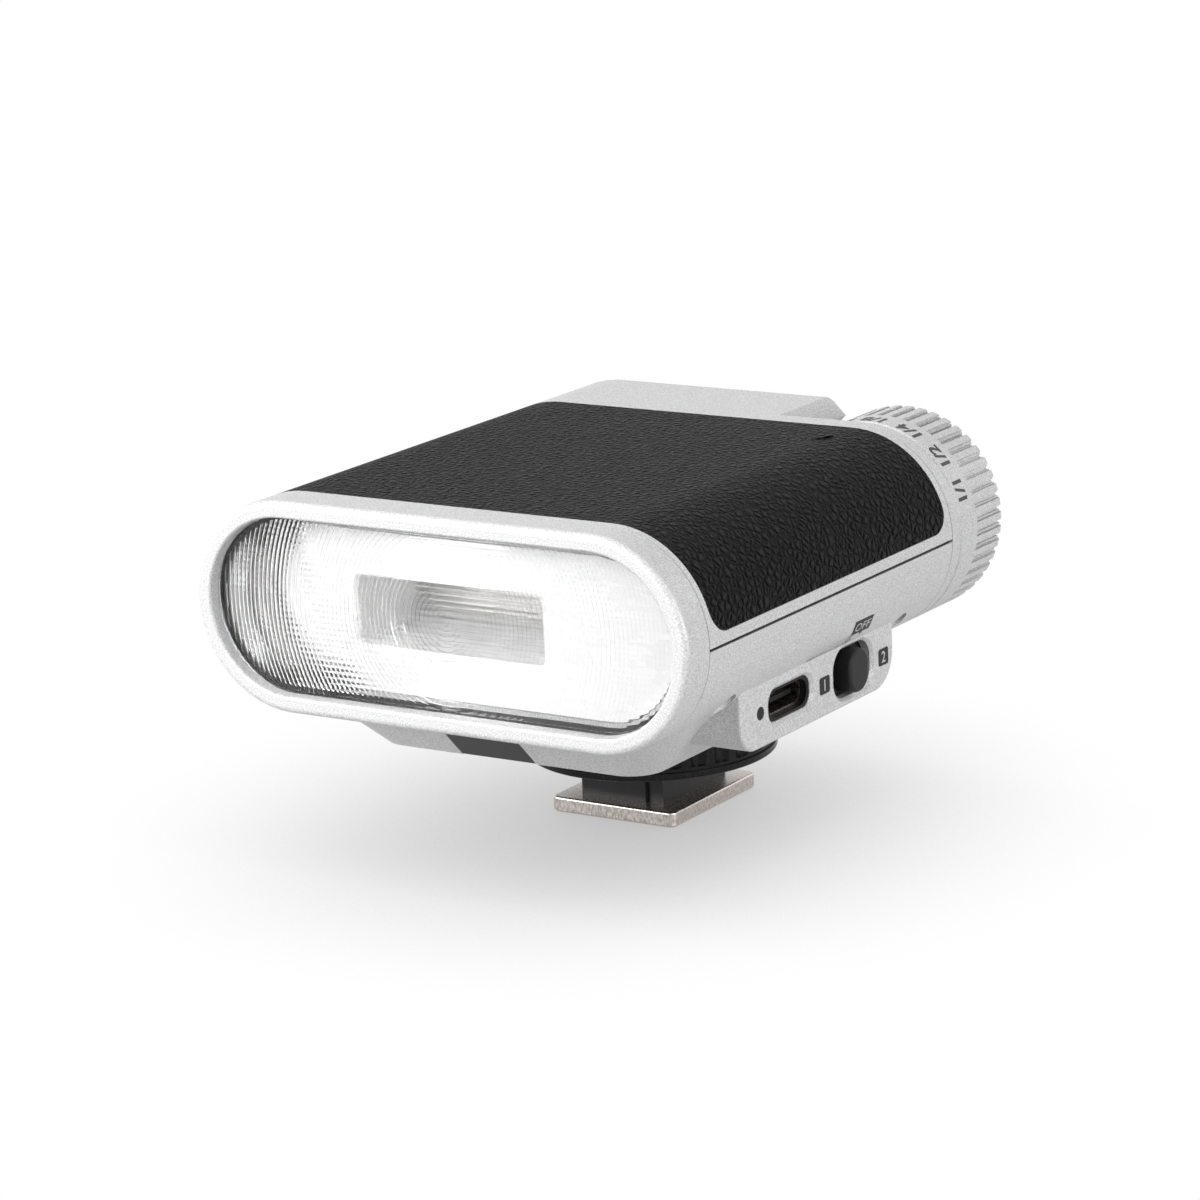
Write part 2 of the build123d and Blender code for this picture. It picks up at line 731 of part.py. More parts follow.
# ---------------------------------------------------------------- pod fittings
# Socket shell, tongue and its gold pads.
port_w0, port_h0 = 8.94, 3.2
port_face = pod_x - 1.35
with BuildPart() as usb_shell:
    with BuildSketch(beside(port_face - 7.2, port_y, port_z)):
        SlotOverall(port_w0, port_h0)
    extrude(amount=7.2)
    with BuildSketch(beside(port_face - 6.2, port_y, port_z)):
        SlotOverall(port_w0 - 0.6, port_h0 - 0.6)
    extrude(amount=8, mode=Mode.SUBTRACT)
usb_shell.part.label = "usb_shell"
export_step(usb_shell.part, "parts/usb_shell.step")

with BuildPart() as usb_tongue:
    with BuildSketch(beside(port_face - 6.15, port_y, port_z)):
        SlotOverall(port_w0 - 0.7, port_h0 - 0.7)
    extrude(amount=0.8)
    with BuildSketch(beside(port_face - 6.15, port_y, port_z)):
        Rectangle(6.7, 0.7)
    extrude(amount=5.5)
    fillet(usb_tongue.edges().group_by(Axis.X)[-1], radius=0.1)
usb_tongue.part.label = "usb_tongue"
export_step(usb_tongue.part, "parts/usb_tongue.step")

with BuildPart() as usb_pads:
    for sz in (-1, 1):
        with Locations((port_face - 2.7, port_y, port_z + sz * 0.39)):
            with GridLocations(0, 0.5, 1, 12):
                Box(3.2, 0.26, 0.06)
usb_pads.part.label = "usb_pads"
export_step(usb_pads.part, "parts/usb_pads.step")

# Dark liner in the socket's opening, with a flange behind the pod's wall.
with BuildPart() as pod_liner:
    with BuildSketch(beside(pod_x - pod_wall - 0.9, port_y, port_z)):
        RectangleRounded(port_w + 2 * liner_rim, port_h + 2 * liner_rim, port_round + 0.5)
    extrude(amount=0.85)
    with BuildSketch(beside(pod_x - pod_wall - 0.9, port_y, port_z)):
        RectangleRounded(port_w - 0.16, port_h - 0.16, port_round - 0.1)
    extrude(amount=pod_wall + 0.4)
    with BuildSketch(beside(pod_x - pod_wall - 0.95, port_y, port_z)):
        SlotOverall(port_w0 + 0.12, port_h0 + 0.12)
    extrude(amount=4, mode=Mode.SUBTRACT)
pod_liner.part.label = "pod_liner"
export_step(pod_liner.part, "parts/pod_liner.step")

# Three-position slider: a rounded knob on a cover plate that keeps the slot closed,
# with a peg into the switch.
with BuildPart() as mode_knob:
    with BuildSketch(beside(cover_x, slot_y, slot_z)):
        SlotOverall(plate_len, slot_h + 0.1)
    extrude(amount=0.8)
    with BuildSketch(beside(cover_x + 0.4, slot_y, slot_z)):
        RectangleRounded(4.6, 5.6, 2.2)
    extrude(amount=pod_x + 0.9 - cover_x - 0.4)
    fillet(mode_knob.edges().group_by(Axis.X)[-1], radius=0.45)
    with BuildSketch(beside(cover_x + 0.2, slot_y, slot_z)):
        Rectangle(1.6, 1.6)
    extrude(amount=-2.3)
mode_knob.part.label = "mode_knob"
export_step(mode_knob.part, "parts/mode_knob.step")

with BuildPart() as mode_switch:
    with BuildSketch(beside(cover_x - 0.7, slot_y, io_top + 0.02 + 1.75)):
        RectangleRounded(10.2, 3.5, 0.2)
    extrude(amount=-4.2)
    with BuildSketch(beside(cover_x, slot_y, slot_z)):
        Rectangle(1.6 + 2 * slide_travel + 0.5, 2.0)
    extrude(amount=-2.6, mode=Mode.SUBTRACT)
mode_switch.part.label = "mode_switch"
export_step(mode_switch.part, "parts/mode_switch.step")

# Light pipe of the charge lamp, with the lamp's chip behind it.
with BuildPart() as charge_lamp:
    with BuildSketch(beside(pod_x - 0.1, lamp_y, port_z)):
        Circle(lamp_r)
    extrude(amount=-(pod_wall - 0.05))
    with BuildSketch(beside(pod_x - pod_wall - 0.05, lamp_y, port_z)):
        Circle(lamp_r + 0.4)
    extrude(amount=-0.6)
charge_lamp.part.label = "charge_lamp"
export_step(charge_lamp.part, "parts/charge_lamp.step")

# ---------------------------------------------------------------- foot
# Plated shoe plate with eased corners and four countersunk holes.
foot_hole_x = neck_w / 2 - 1.9
foot_hole_y = neck_l / 2 - 2.0
foot_spots = [(sx * foot_hole_x, sy * foot_hole_y) for sx in (-1, 1) for sy in (-1, 1)]
insulator_r = 2.9
pin_r = 1.4
with BuildPart() as foot_plate:
    with BuildSketch(Plane.XY):
        RectangleRounded(foot_w, foot_l, 1.0)
    extrude(amount=foot_t)
    chamfer(foot_plate.edges().group_by(Axis.Z)[0], length=0.25)
    fillet(foot_plate.edges().group_by(Axis.Z)[-1], radius=0.3)
    with BuildSketch(Plane.XY):
        Circle(insulator_r + seam)
    extrude(amount=foot_t, mode=Mode.SUBTRACT)
    with BuildSketch(Plane.XY):
        with Locations(*foot_spots):
            Circle(0.95)
    extrude(amount=foot_t, mode=Mode.SUBTRACT)
    with Locations(*[(x, y, 0.55) for x, y in foot_spots]):
        Cone(bottom_radius=1.75, top_radius=0.65, height=1.1, mode=Mode.SUBTRACT)
foot_plate.part.label = "foot_plate"
export_step(foot_plate.part, "parts/foot_plate.step")

# Black block on the plate: the neck that runs between the rails, with one stepped
# corner, and the stem that the wheel turns on.
stem_top = floor_z + plate_t + 2.6
pin_room_z = foot_t + neck_h - 0.9
step_w = 2.3
with BuildPart() as foot_block:
    with BuildSketch(Plane.XY.offset(foot_t)):
        RectangleRounded(neck_w, neck_l, 0.5)
    extrude(amount=neck_h - 0.05)
    chamfer(foot_block.edges().group_by(Axis.Z)[-1], length=0.3)
    # stepped front corner
    with BuildSketch(Plane.XY.offset(foot_t)):
        with Locations((neck_w / 2 - step_w / 2, -neck_l / 2 + 0.2)):
            Rectangle(step_w, 0.8)
    extrude(amount=neck_h - 1.0, mode=Mode.SUBTRACT)
    with BuildSketch(Plane.XY.offset(neck_top - 0.6)):
        Circle(stem_r)
    extrude(amount=stem_top - neck_top + 0.6)
    chamfer(foot_block.edges().group_by(Axis.Z)[-1], length=0.4)
    # room for the contact, its insulator and spring, and a bore for its wire
    with BuildSketch(Plane.XY.offset(foot_t)):
        Circle(insulator_r + seam)
    extrude(amount=pin_room_z - foot_t, mode=Mode.SUBTRACT)
    with BuildSketch(Plane.XY.offset(foot_t)):
        Circle(1.2)
    extrude(amount=stem_top, mode=Mode.SUBTRACT)
    with BuildSketch(Plane.XY.offset(foot_t)):
        with Locations(*foot_spots):
            Circle(0.75)
    extrude(amount=neck_h - 1.2, mode=Mode.SUBTRACT)
foot_block.part.label = "foot_block"
export_step(foot_block.part, "parts/foot_block.step")

# Countersunk screws up through the sole.
with BuildPart() as foot_screws:
    with Locations(*[(x, y, 0.6) for x, y in foot_spots]):
        Cone(bottom_radius=1.6, top_radius=0.6, height=1.0)
    with BuildSketch(Plane.XY.offset(0.8)):
        with Locations(*foot_spots):
            Circle(0.7)
    extrude(amount=foot_t + neck_h - 2.2)
    with BuildSketch(Plane.XY.offset(0.1)):
        with Locations(*foot_spots):
            Rectangle(1.7, 0.34)
            Rectangle(0.34, 1.7)
    extrude(amount=0.5, mode=Mode.SUBTRACT)
foot_screws.part.label = "foot_screws"
export_step(foot_screws.part, "parts/foot_screws.step")

# Insulating bush in the sole, with the sprung centre contact inside it.
shoulder_z = 1.5
shoulder_r = 1.9
contact_travel = 0.6
spring_low = shoulder_z + 0.75
spring_high = pin_room_z - 0.02
with BuildPart() as contact_insulator:
    with BuildSketch(Plane.XY.offset(0.1)):
        Circle(insulator_r)
    extrude(amount=pin_room_z - 0.15)
    with BuildSketch(Plane.XY):
        Circle(pin_r + run)
    extrude(amount=shoulder_z, mode=Mode.SUBTRACT)
    with BuildSketch(Plane.XY.offset(shoulder_z)):
        Circle(shoulder_r + run)
    extrude(amount=neck_top, mode=Mode.SUBTRACT)
contact_insulator.part.label = "contact_insulator"
export_step(contact_insulator.part, "parts/contact_insulator.step")

with BuildPart() as centre_contact:
    with BuildSketch(Plane.XY):
        Circle(pin_r)
    extrude(amount=spring_low)
    fillet(centre_contact.edges().group_by(Axis.Z)[0], radius=0.3)
    with BuildSketch(Plane.XY.offset(shoulder_z + 0.03)):
        Circle(shoulder_r)
    extrude(amount=spring_low - shoulder_z - 0.03)
    with BuildSketch(Plane.XY.offset(spring_low)):
        Circle(0.8)
    extrude(amount=1.4)
centre_contact.part.label = "centre_contact"
export_step(centre_contact.part, "parts/centre_contact.step")

wire_r = 0.16
spring_r = 1.3
with BuildPart() as contact_spring:
    with BuildLine():
        Helix(
            pitch=(spring_high - spring_low - 3 * wire_r) / 4,
            height=spring_high - spring_low - 3 * wire_r,
            radius=spring_r,
            center=(0, 0, spring_low + 1.5 * wire_r),
        )
    with BuildSketch(Plane(origin=(spring_r, 0, spring_low + 1.5 * wire_r), z_dir=(0, 1, 0))):
        RegularPolygon(radius=wire_r, side_count=6)
    sweep(is_frenet=True)
contact_spring.part.label = "contact_spring"
export_step(contact_spring.part, "parts/contact_spring.step")

# Smooth washer that the wheel pushes down on the shoe's rails.
washer_t = 0.95
washer_in = hypot(neck_w / 2, neck_l / 2) + 0.45
wheel_r = wheel_d / 2
with BuildPart() as clamp_washer:
    with BuildSketch(Plane.XY.offset(neck_top)):
        Circle(wheel_r)
        Circle(washer_in, mode=Mode.SUBTRACT)
    extrude(amount=washer_t)
    fillet(clamp_washer.edges().group_by(Axis.Z)[0].sort_by(Edge.length)[-1], radius=0.35)
clamp_washer.part.label = "clamp_washer"
export_step(clamp_washer.part, "parts/clamp_washer.step")

# Lock wheel: scalloped rim, open below round the neck, with a web that runs on the stem.
wheel_low = neck_top + washer_t + 0.03
wheel_top = neck_top + wheel_h
web_low = neck_top + clamp_travel + 0.25
scallops = 30
with BuildPart() as lock_wheel:
    with BuildSketch(Plane.XY.offset(wheel_low)):
        Circle(wheel_r - 0.25)
    extrude(amount=wheel_top - wheel_low)
    fillet(lock_wheel.edges().group_by(Axis.Z)[-1], radius=0.5)
    with BuildSketch(Plane.XY.offset(wheel_low + 0.45)):
        with PolarLocations(wheel_r + 0.55, scallops):
            Circle(1.35)
    extrude(amount=wheel_h, mode=Mode.SUBTRACT)
    with BuildSketch(Plane.XY.offset(wheel_low)):
        Circle(washer_in)
    extrude(amount=web_low - wheel_low, mode=Mode.SUBTRACT)
    with BuildSketch(Plane.XY.offset(wheel_low)):
        Circle(stem_r + run)
    extrude(amount=wheel_h, mode=Mode.SUBTRACT)
lock_wheel.part.label = "lock_wheel"
export_step(lock_wheel.part, "parts/lock_wheel.step")

# Steel plate on the base's floor and the nut that draws the stem up to it.
with BuildPart() as mount_plate:
    with BuildSketch(Plane.XY.offset(floor_z + 0.03)):
        RectangleRounded(plate_w, plate_l, 2.0)
        Circle(stem_r + seam, mode=Mode.SUBTRACT)
        with Locations(*mount_spots):
            Circle(0.9, mode=Mode.SUBTRACT)
    extrude(amount=plate_t)
mount_plate.part.label = "mount_plate"
export_step(mount_plate.part, "parts/mount_plate.step")

with BuildPart() as stem_nut:
    with BuildSketch(Plane.XY.offset(floor_z + plate_t + 0.06)):
        RegularPolygon(radius=9.6, side_count=6)
        Circle(stem_r + seam, mode=Mode.SUBTRACT)
    extrude(amount=1.6)
stem_nut.part.label = "stem_nut"
export_step(stem_nut.part, "parts/stem_nut.step")

with BuildPart() as mount_screws:
    with BuildSketch(Plane.XY.offset(floor_z + plate_t + 0.05)):
        with Locations(*mount_spots):
            Circle(1.4)
    extrude(amount=0.9)
    with BuildSketch(Plane.XY.offset(floor_z + plate_t + 0.05)):
        with Locations(*mount_spots):
            Circle(0.7)
    extrude(amount=-(plate_t + wall - 0.7))
mount_screws.part.label = "mount_screws"
export_step(mount_screws.part, "parts/mount_screws.step")

# Screws in the four columns, their heads up the side pockets.
with BuildPart() as shell_screws:
    with BuildSketch(Plane.XY.offset(head_step_z - 0.05)):
        with Locations(*column_spots):
            Circle(1.4)
    extrude(amount=-1.1)
    with BuildSketch(Plane.XY.offset(head_step_z - 0.1)):
        with Locations(*column_spots):
            Circle(0.85)
    extrude(amount=seam_z + 5.5 - head_step_z)
    with BuildSketch(Plane.XY.offset(head_step_z - 1.2)):
        with Locations(*column_spots):
            Rectangle(1.6, 0.3)
            Rectangle(0.3, 1.6)
    extrude(amount=0.5, mode=Mode.SUBTRACT)
shell_screws.part.label = "shell_screws"
export_step(shell_screws.part, "parts/shell_screws.step")

# ---------------------------------------------------------------- electronics
# Main board on its four posts, under the two cells.
board_half = inner_half_width(board_z) - 1.0
board_y0 = post_front - 2.6
board_y1 = rim_front - spigot - 0.4
with BuildPart() as main_board:
    with BuildSketch(Plane.XY.offset(board_z)):
        with Locations((0, (board_y0 + board_y1) / 2)):
            RectangleRounded(2 * board_half, board_y1 - board_y0, 1.2)
        with Locations(*post_spots):
            Circle(0.9, mode=Mode.SUBTRACT)
    extrude(amount=board_t)
main_board.part.label = "main_board"
export_step(main_board.part, "parts/main_board.step")

board_up = board_z + board_t
with BuildPart() as board_screws:
    with BuildSketch(Plane.XY.offset(board_up + 0.03)):
        with Locations(*post_spots):
            Circle(1.5)
    extrude(amount=0.8)
    with BuildSketch(Plane.XY.offset(board_up + 0.1)):
        with Locations(*post_spots):
            Circle(0.68)
    extrude(amount=-(board_t + 4.0))
board_screws.part.label = "board_screws"
export_step(board_screws.part, "parts/board_screws.step")

# Control board in the base, at the level of the socket and the switch.
with BuildPart() as io_board:
    with BuildSketch(Plane.XY.offset(io_low + 0.02)):
        with Locations(((io_x0 + io_x1) / 2, (io_y0 + io_y1) / 2)):
            RectangleRounded(io_x1 - io_x0, io_y1 - io_y0, 0.8)
    extrude(amount=board_t - 0.02)
io_board.part.label = "io_board"
export_step(io_board.part, "parts/io_board.step")

# Storage capacitor and rechargeable cell, side by side across the body.
can_r = 0.62 * end_r
can_z = board_up + can_r + 1.2
core_w = 11.5
core_x = inner_half_width(axis_z) - 14.5
can_x0 = -inner_half_width(axis_z) + 5.6
can_len = core_x - core_w / 2 - 3.95 - can_x0
cell_r = can_r
cell_x0 = 0.5 - inner_half_width(can_z + 0.9 * cell_r, wall + spigot_t)
cell_len = end_x - dial_room - wall - 0.7 - cell_x0
cell_y = bb_y - cell_r - 6.05
can_y = cell_y - cell_r - can_r - 0.6
with BuildPart() as capacitor:
    with BuildSketch(beside(can_x0, can_y, can_z)):
        Circle(can_r)
    extrude(amount=can_len)
    fillet(capacitor.edges().filter_by(GeomType.CIRCLE), radius=0.7)
    with BuildSketch(beside(can_x0 + can_len, can_y, can_z)):
        with Locations((-3.2, 0), (3.2, 0)):
            Circle(0.5)
    extrude(amount=2.5)
capacitor.part.label = "capacitor"
export_step(capacitor.part, "parts/capacitor.step")

with BuildPart() as battery_cell:
    with BuildSketch(beside(cell_x0, cell_y, can_z)):
        Circle(cell_r)
    extrude(amount=cell_len)
    fillet(battery_cell.edges().filter_by(GeomType.CIRCLE), radius=0.6)
    with BuildSketch(beside(cell_x0 + cell_len - 0.1, cell_y, can_z)):
        Circle(3.0)
    extrude(amount=0.9)
battery_cell.part.label = "battery_cell"
export_step(battery_cell.part, "parts/battery_cell.step")

# Saddle on the board that carries both.
saddle_h = can_r * 0.62
with BuildPart() as cell_saddle:
    with BuildSketch(Plane.XY.offset(board_up + 0.02)):
        for x in (cell_x0 + 4.5, cell_x0 + 19):
            with Locations((x, (can_y + cell_y) / 2)):
                RectangleRounded(6.5, cell_y - can_y + 1.3 * can_r, 1.0)
    extrude(amount=saddle_h)
    with BuildSketch(beside(-body_w / 2, can_y, can_z)):
        Circle(can_r + seam)
        with Locations((cell_y - can_y, 0)):
            Circle(cell_r + seam)
    extrude(amount=body_w, mode=Mode.SUBTRACT)
cell_saddle.part.label = "cell_saddle"
export_step(cell_saddle.part, "parts/cell_saddle.step")

# Charging transformer: bobbin between two flanges, on the board.
with BuildPart() as charge_transformer:
    with BuildSketch(Plane.XY.offset(board_up + 0.02)):
        with Locations((core_x, can_y - 1)):
            RectangleRounded(core_w, 12.0, 0.8)
    extrude(amount=1.4)
    with BuildSketch(Plane.XY.offset(board_up + 1)):
        with Locations((core_x, can_y - 1)):
            Circle(4.9)
    extrude(amount=6.6)
    with BuildSketch(Plane.XY.offset(board_up + 7.2)):
        with Locations((core_x, can_y - 1)):
            RectangleRounded(core_w, 12.0, 0.8)
    extrude(amount=1.4)
charge_transformer.part.label = "charge_transformer"
export_step(charge_transformer.part, "parts/charge_transformer.step")

# Trigger coil beside the tube, and the flash transistor in front of the capacitor.
with BuildPart() as trigger_coil:
    with BuildSketch(Plane.XY.offset(board_up + 0.02)):
        with Locations((core_x + 0.5, can_y - 12.5)):
            Circle(3.1)
    extrude(amount=7.5)
    with BuildSketch(Plane.XY.offset(board_up + 0.02)):
        with Locations((core_x + 0.5, can_y - 12.5)):
            Circle(3.8)
    extrude(amount=0.8)
trigger_coil.part.label = "trigger_coil"
export_step(trigger_coil.part, "parts/trigger_coil.step")

with BuildPart() as flash_transistor:
    with BuildSketch(Plane.XY.offset(board_up + 0.02)):
        with Locations((-8, can_y - can_r - 4.2)):
            Rectangle(6.4, 5.6)
    extrude(amount=1.9)
flash_transistor.part.label = "flash_transistor"
export_step(flash_transistor.part, "parts/flash_transistor.step")
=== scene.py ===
import math

import bmesh
import bpy
from mathutils import Matrix, Vector


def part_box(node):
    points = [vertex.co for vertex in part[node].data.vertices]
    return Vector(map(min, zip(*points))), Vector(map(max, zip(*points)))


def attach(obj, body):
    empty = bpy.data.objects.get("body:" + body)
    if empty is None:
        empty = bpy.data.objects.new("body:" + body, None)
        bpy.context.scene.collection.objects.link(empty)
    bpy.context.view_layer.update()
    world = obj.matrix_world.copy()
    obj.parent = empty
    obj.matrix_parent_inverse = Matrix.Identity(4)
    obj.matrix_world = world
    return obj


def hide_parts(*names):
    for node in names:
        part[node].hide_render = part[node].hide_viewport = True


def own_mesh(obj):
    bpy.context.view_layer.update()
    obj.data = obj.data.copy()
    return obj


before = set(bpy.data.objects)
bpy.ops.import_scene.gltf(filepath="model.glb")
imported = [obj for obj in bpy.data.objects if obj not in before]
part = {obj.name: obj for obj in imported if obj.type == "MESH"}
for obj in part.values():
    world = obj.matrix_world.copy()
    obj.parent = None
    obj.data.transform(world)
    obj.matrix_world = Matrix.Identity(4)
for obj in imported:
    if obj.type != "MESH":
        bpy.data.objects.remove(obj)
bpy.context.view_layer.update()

# ---------------------------------------------------------------- foot plate
# A stamped steel plate with a warm nickel plating, slid into a camera's shoe.
# Its sides keep the fine grain of the blanked edge; screws come up through its sole.


def shader_of(material):
    """The material's own Principled shader."""
    return material.node_tree.nodes["Principled BSDF"]


def new_finish(name, colour, roughness, metallic=0.0):
    """A material with plain values on its shader, for a section to add its grain to."""
    material = bpy.data.materials.new(name)
    material.use_nodes = True
    shader = shader_of(material)
    shader.inputs["Base Color"].default_value = (*colour, 1)
    shader.inputs["Roughness"].default_value = roughness
    shader.inputs["Metallic"].default_value = metallic
    return material


def own_place(material, stretch=(1, 1, 1), centre=(0, 0, 0)):
    """A point on the piece in metres, moved to a centre and stretched."""
    tree = material.node_tree
    coordinate = tree.nodes.new("ShaderNodeTexCoord")
    mapping = tree.nodes.new("ShaderNodeMapping")
    mapping.vector_type = "POINT"
    mapping.inputs["Scale"].default_value = stretch
    mapping.inputs["Location"].default_value = [-c * s for c, s in zip(centre, stretch)]
    tree.links.new(coordinate.outputs["Object"], mapping.inputs["Vector"])
    return mapping.outputs["Vector"]


def speckle(material, place, size, detail=2.0):
    """Cloudy noise whose grains are about size metres across."""
    noise = material.node_tree.nodes.new("ShaderNodeTexNoise")
    noise.inputs["Scale"].default_value = 1 / size
    noise.inputs["Detail"].default_value = detail
    material.node_tree.links.new(place, noise.inputs["Vector"])
    return noise.outputs["Fac"]


def tint(material, grain, dark, light, low=0.3, high=0.7):
    """Colours the piece from dark to light as the grain goes from low to high."""
    ramp = material.node_tree.nodes.new("ShaderNodeValToRGB")
    ramp.color_ramp.elements[0].position = low
    ramp.color_ramp.elements[0].color = (*dark, 1)
    ramp.color_ramp.elements[1].position = high
    ramp.color_ramp.elements[1].color = (*light, 1)
    material.node_tree.links.new(grain, ramp.inputs["Fac"])
    material.node_tree.links.new(ramp.outputs["Color"], shader_of(material).inputs["Base Color"])


def gloss(material, grain, smooth, rough):
    """Roughness from smooth to rough as the grain rises."""
    spread = material.node_tree.nodes.new("ShaderNodeMapRange")
    spread.inputs["From Min"].default_value = 0.3
    spread.inputs["From Max"].default_value = 0.7
    spread.inputs["To Min"].default_value = smooth
    spread.inputs["To Max"].default_value = rough
    material.node_tree.links.new(grain, spread.inputs["Value"])
    material.node_tree.links.new(spread.outputs["Result"], shader_of(material).inputs["Roughness"])


def raise_grain(material, grain, depth, strength=1.0):
    """Raises the surface by up to depth metres where the grain is high."""
    bump = material.node_tree.nodes.new("ShaderNodeBump")
    bump.inputs["Distance"].default_value = depth
    bump.inputs["Strength"].default_value = strength
    material.node_tree.links.new(grain, bump.inputs["Height"])
    material.node_tree.links.new(bump.outputs["Normal"], shader_of(material).inputs["Normal"])


def dress(material, *names):
    """Gives CAD nodes their finish."""
    for name in names:
        for slot in part[name].material_slots:
            slot.material = material


nickel = new_finish("foot_nickel", (0.60, 0.545, 0.51), 0.3, metallic=1.0)
nickel_grain = speckle(nickel, own_place(nickel, stretch=(1, 1, 0.5)), 0.0003, detail=4)
tint(nickel, nickel_grain, (0.47, 0.42, 0.39), (0.70, 0.64, 0.60))
gloss(nickel, nickel_grain, 0.22, 0.42)
raise_grain(nickel, nickel_grain, 0.00002, 0.6)
dress(nickel, "foot_plate")

# ---------------------------------------------------------------- foot block and contact
# Glass-filled nylon block that runs between the shoe's rails and carries the stem. The
# gold-plated centre contact slides in a bush of the same plastic. Its small spring is
# wound again here, because it shortens as the contact goes in.
black_plastic = new_finish("black_plastic", (0.010, 0.010, 0.011), 0.42)
shader_of(black_plastic).inputs["Specular IOR Level"].default_value = 0.3
plastic_grain = speckle(black_plastic, own_place(black_plastic), 0.0002, detail=3)
tint(black_plastic, plastic_grain, (0.007, 0.007, 0.008), (0.014, 0.014, 0.015))
gloss(black_plastic, plastic_grain, 0.3, 0.46)
raise_grain(black_plastic, plastic_grain, 0.00001, 0.5)
dress(black_plastic, "foot_block", "contact_insulator")

contact_gold = new_finish("contact_metal", (0.83, 0.64, 0.33), 0.22, metallic=1.0)
gold_grain = speckle(contact_gold, own_place(contact_gold), 0.00025)
tint(contact_gold, gold_grain, (0.72, 0.53, 0.25), (0.88, 0.70, 0.38))
gloss(contact_gold, gold_grain, 0.16, 0.32)
dress(contact_gold, "centre_contact")

steel = new_finish("steel", (0.56, 0.56, 0.57), 0.3, metallic=1.0)
steel_grain = speckle(steel, own_place(steel, stretch=(1, 1, 0.2)), 0.00022, detail=3)
tint(steel, steel_grain, (0.44, 0.44, 0.45), (0.64, 0.64, 0.65))
gloss(steel, steel_grain, 0.22, 0.4)
raise_grain(steel, steel_grain, 0.00001, 0.5)
dress(steel, "foot_screws")


def as_mesh(name, shape):
    """Turns a finished bmesh into a mesh and frees it."""
    mesh = bpy.data.meshes.new(name)
    shape.to_mesh(mesh)
    shape.free()
    return mesh


def as_object(name, mesh, material):
    """Links a finished mesh to the scene with its one material."""
    mesh.materials.clear()
    mesh.materials.append(material)
    thing = bpy.data.objects.new(name, mesh)
    bpy.context.scene.collection.objects.link(thing)
    return thing


spring_low, spring_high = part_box("contact_spring")
wire_r = 0.00014
wire_corners = 10
coil_turns = 4
coil_steps = 128
coil_r = spring_high.x - wire_r
coil_height = spring_high.z - spring_low.z
wire_rise = coil_height - 2 * wire_r
coil_shape = bmesh.new()
bmesh.ops.create_circle(coil_shape, cap_ends=True, segments=wire_corners, radius=wire_r)
upright = Matrix.Rotation(math.radians(90), 3, "X")
corner_outward = Matrix.Rotation(math.radians(90), 3, "Z")
bmesh.ops.rotate(coil_shape, matrix=upright @ corner_outward, verts=coil_shape.verts)
bmesh.ops.translate(coil_shape, vec=(coil_r, 0, spring_low.z + wire_r), verts=coil_shape.verts)
bmesh.ops.spin(
    coil_shape,
    geom=coil_shape.verts[:] + coil_shape.edges[:] + coil_shape.faces[:],
    axis=(0, 0, 1),
    cent=(0, 0, 0),
    dvec=(0, 0, wire_rise / coil_steps),
    angle=math.tau * coil_turns,
    steps=coil_steps,
)
bmesh.ops.recalc_face_normals(coil_shape, faces=coil_shape.faces)
coil = as_object("contact_coil", as_mesh("contact_coil", coil_shape), steel)
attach(coil, "housing")
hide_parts("contact_spring")
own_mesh(coil)

# ---------------------------------------------------------------- clamp washer and lock wheel
# The wheel is moulded in glossy black plastic with a scalloped grip. Turning it winds
# the smooth washer below it down on the shoe's rails.
wheel_black = new_finish("wheel_plastic", (0.007, 0.007, 0.008), 0.26)
shader_of(wheel_black).inputs["Specular IOR Level"].default_value = 0.16
wheel_grain = speckle(wheel_black, own_place(wheel_black), 0.0005, detail=4)
tint(wheel_black, wheel_grain, (0.005, 0.005, 0.006), (0.010, 0.010, 0.011))
gloss(wheel_black, wheel_grain, 0.18, 0.34)
raise_grain(wheel_black, wheel_grain, 0.00001, 0.4)
dress(wheel_black, "clamp_washer", "lock_wheel")

# ---------------------------------------------------------------- painted shells
# Both half shells, the light's frame, the rear housing and the dial are moulded plastic
# under a satin silver paint, whose flakes show as a fine sparkle.


def silver(name, base, spread, smooth, rough):
    """Satin silver paint: fine flakes in a clear binder, with a faint orange-peel."""
    paint = new_finish(name, base, smooth, metallic=0.15)
    shader_of(paint).inputs["Specular IOR Level"].default_value = 0.35
    flakes = speckle(paint, own_place(paint), 0.00018, detail=4)
    peel = speckle(paint, own_place(paint), 0.0009)
    tint(paint, flakes, [c - spread for c in base], [c + spread for c in base], 0.32, 0.68)
    gloss(paint, peel, smooth, rough)
    raise_grain(paint, flakes, 0.000006, 0.7)
    return paint


shell_paint = silver("silver_paint", (0.59, 0.59, 0.593), 0.17, 0.38, 0.50)
dress(shell_paint, "lower_shell", "top_shell", "front_frame", "rear_housing")

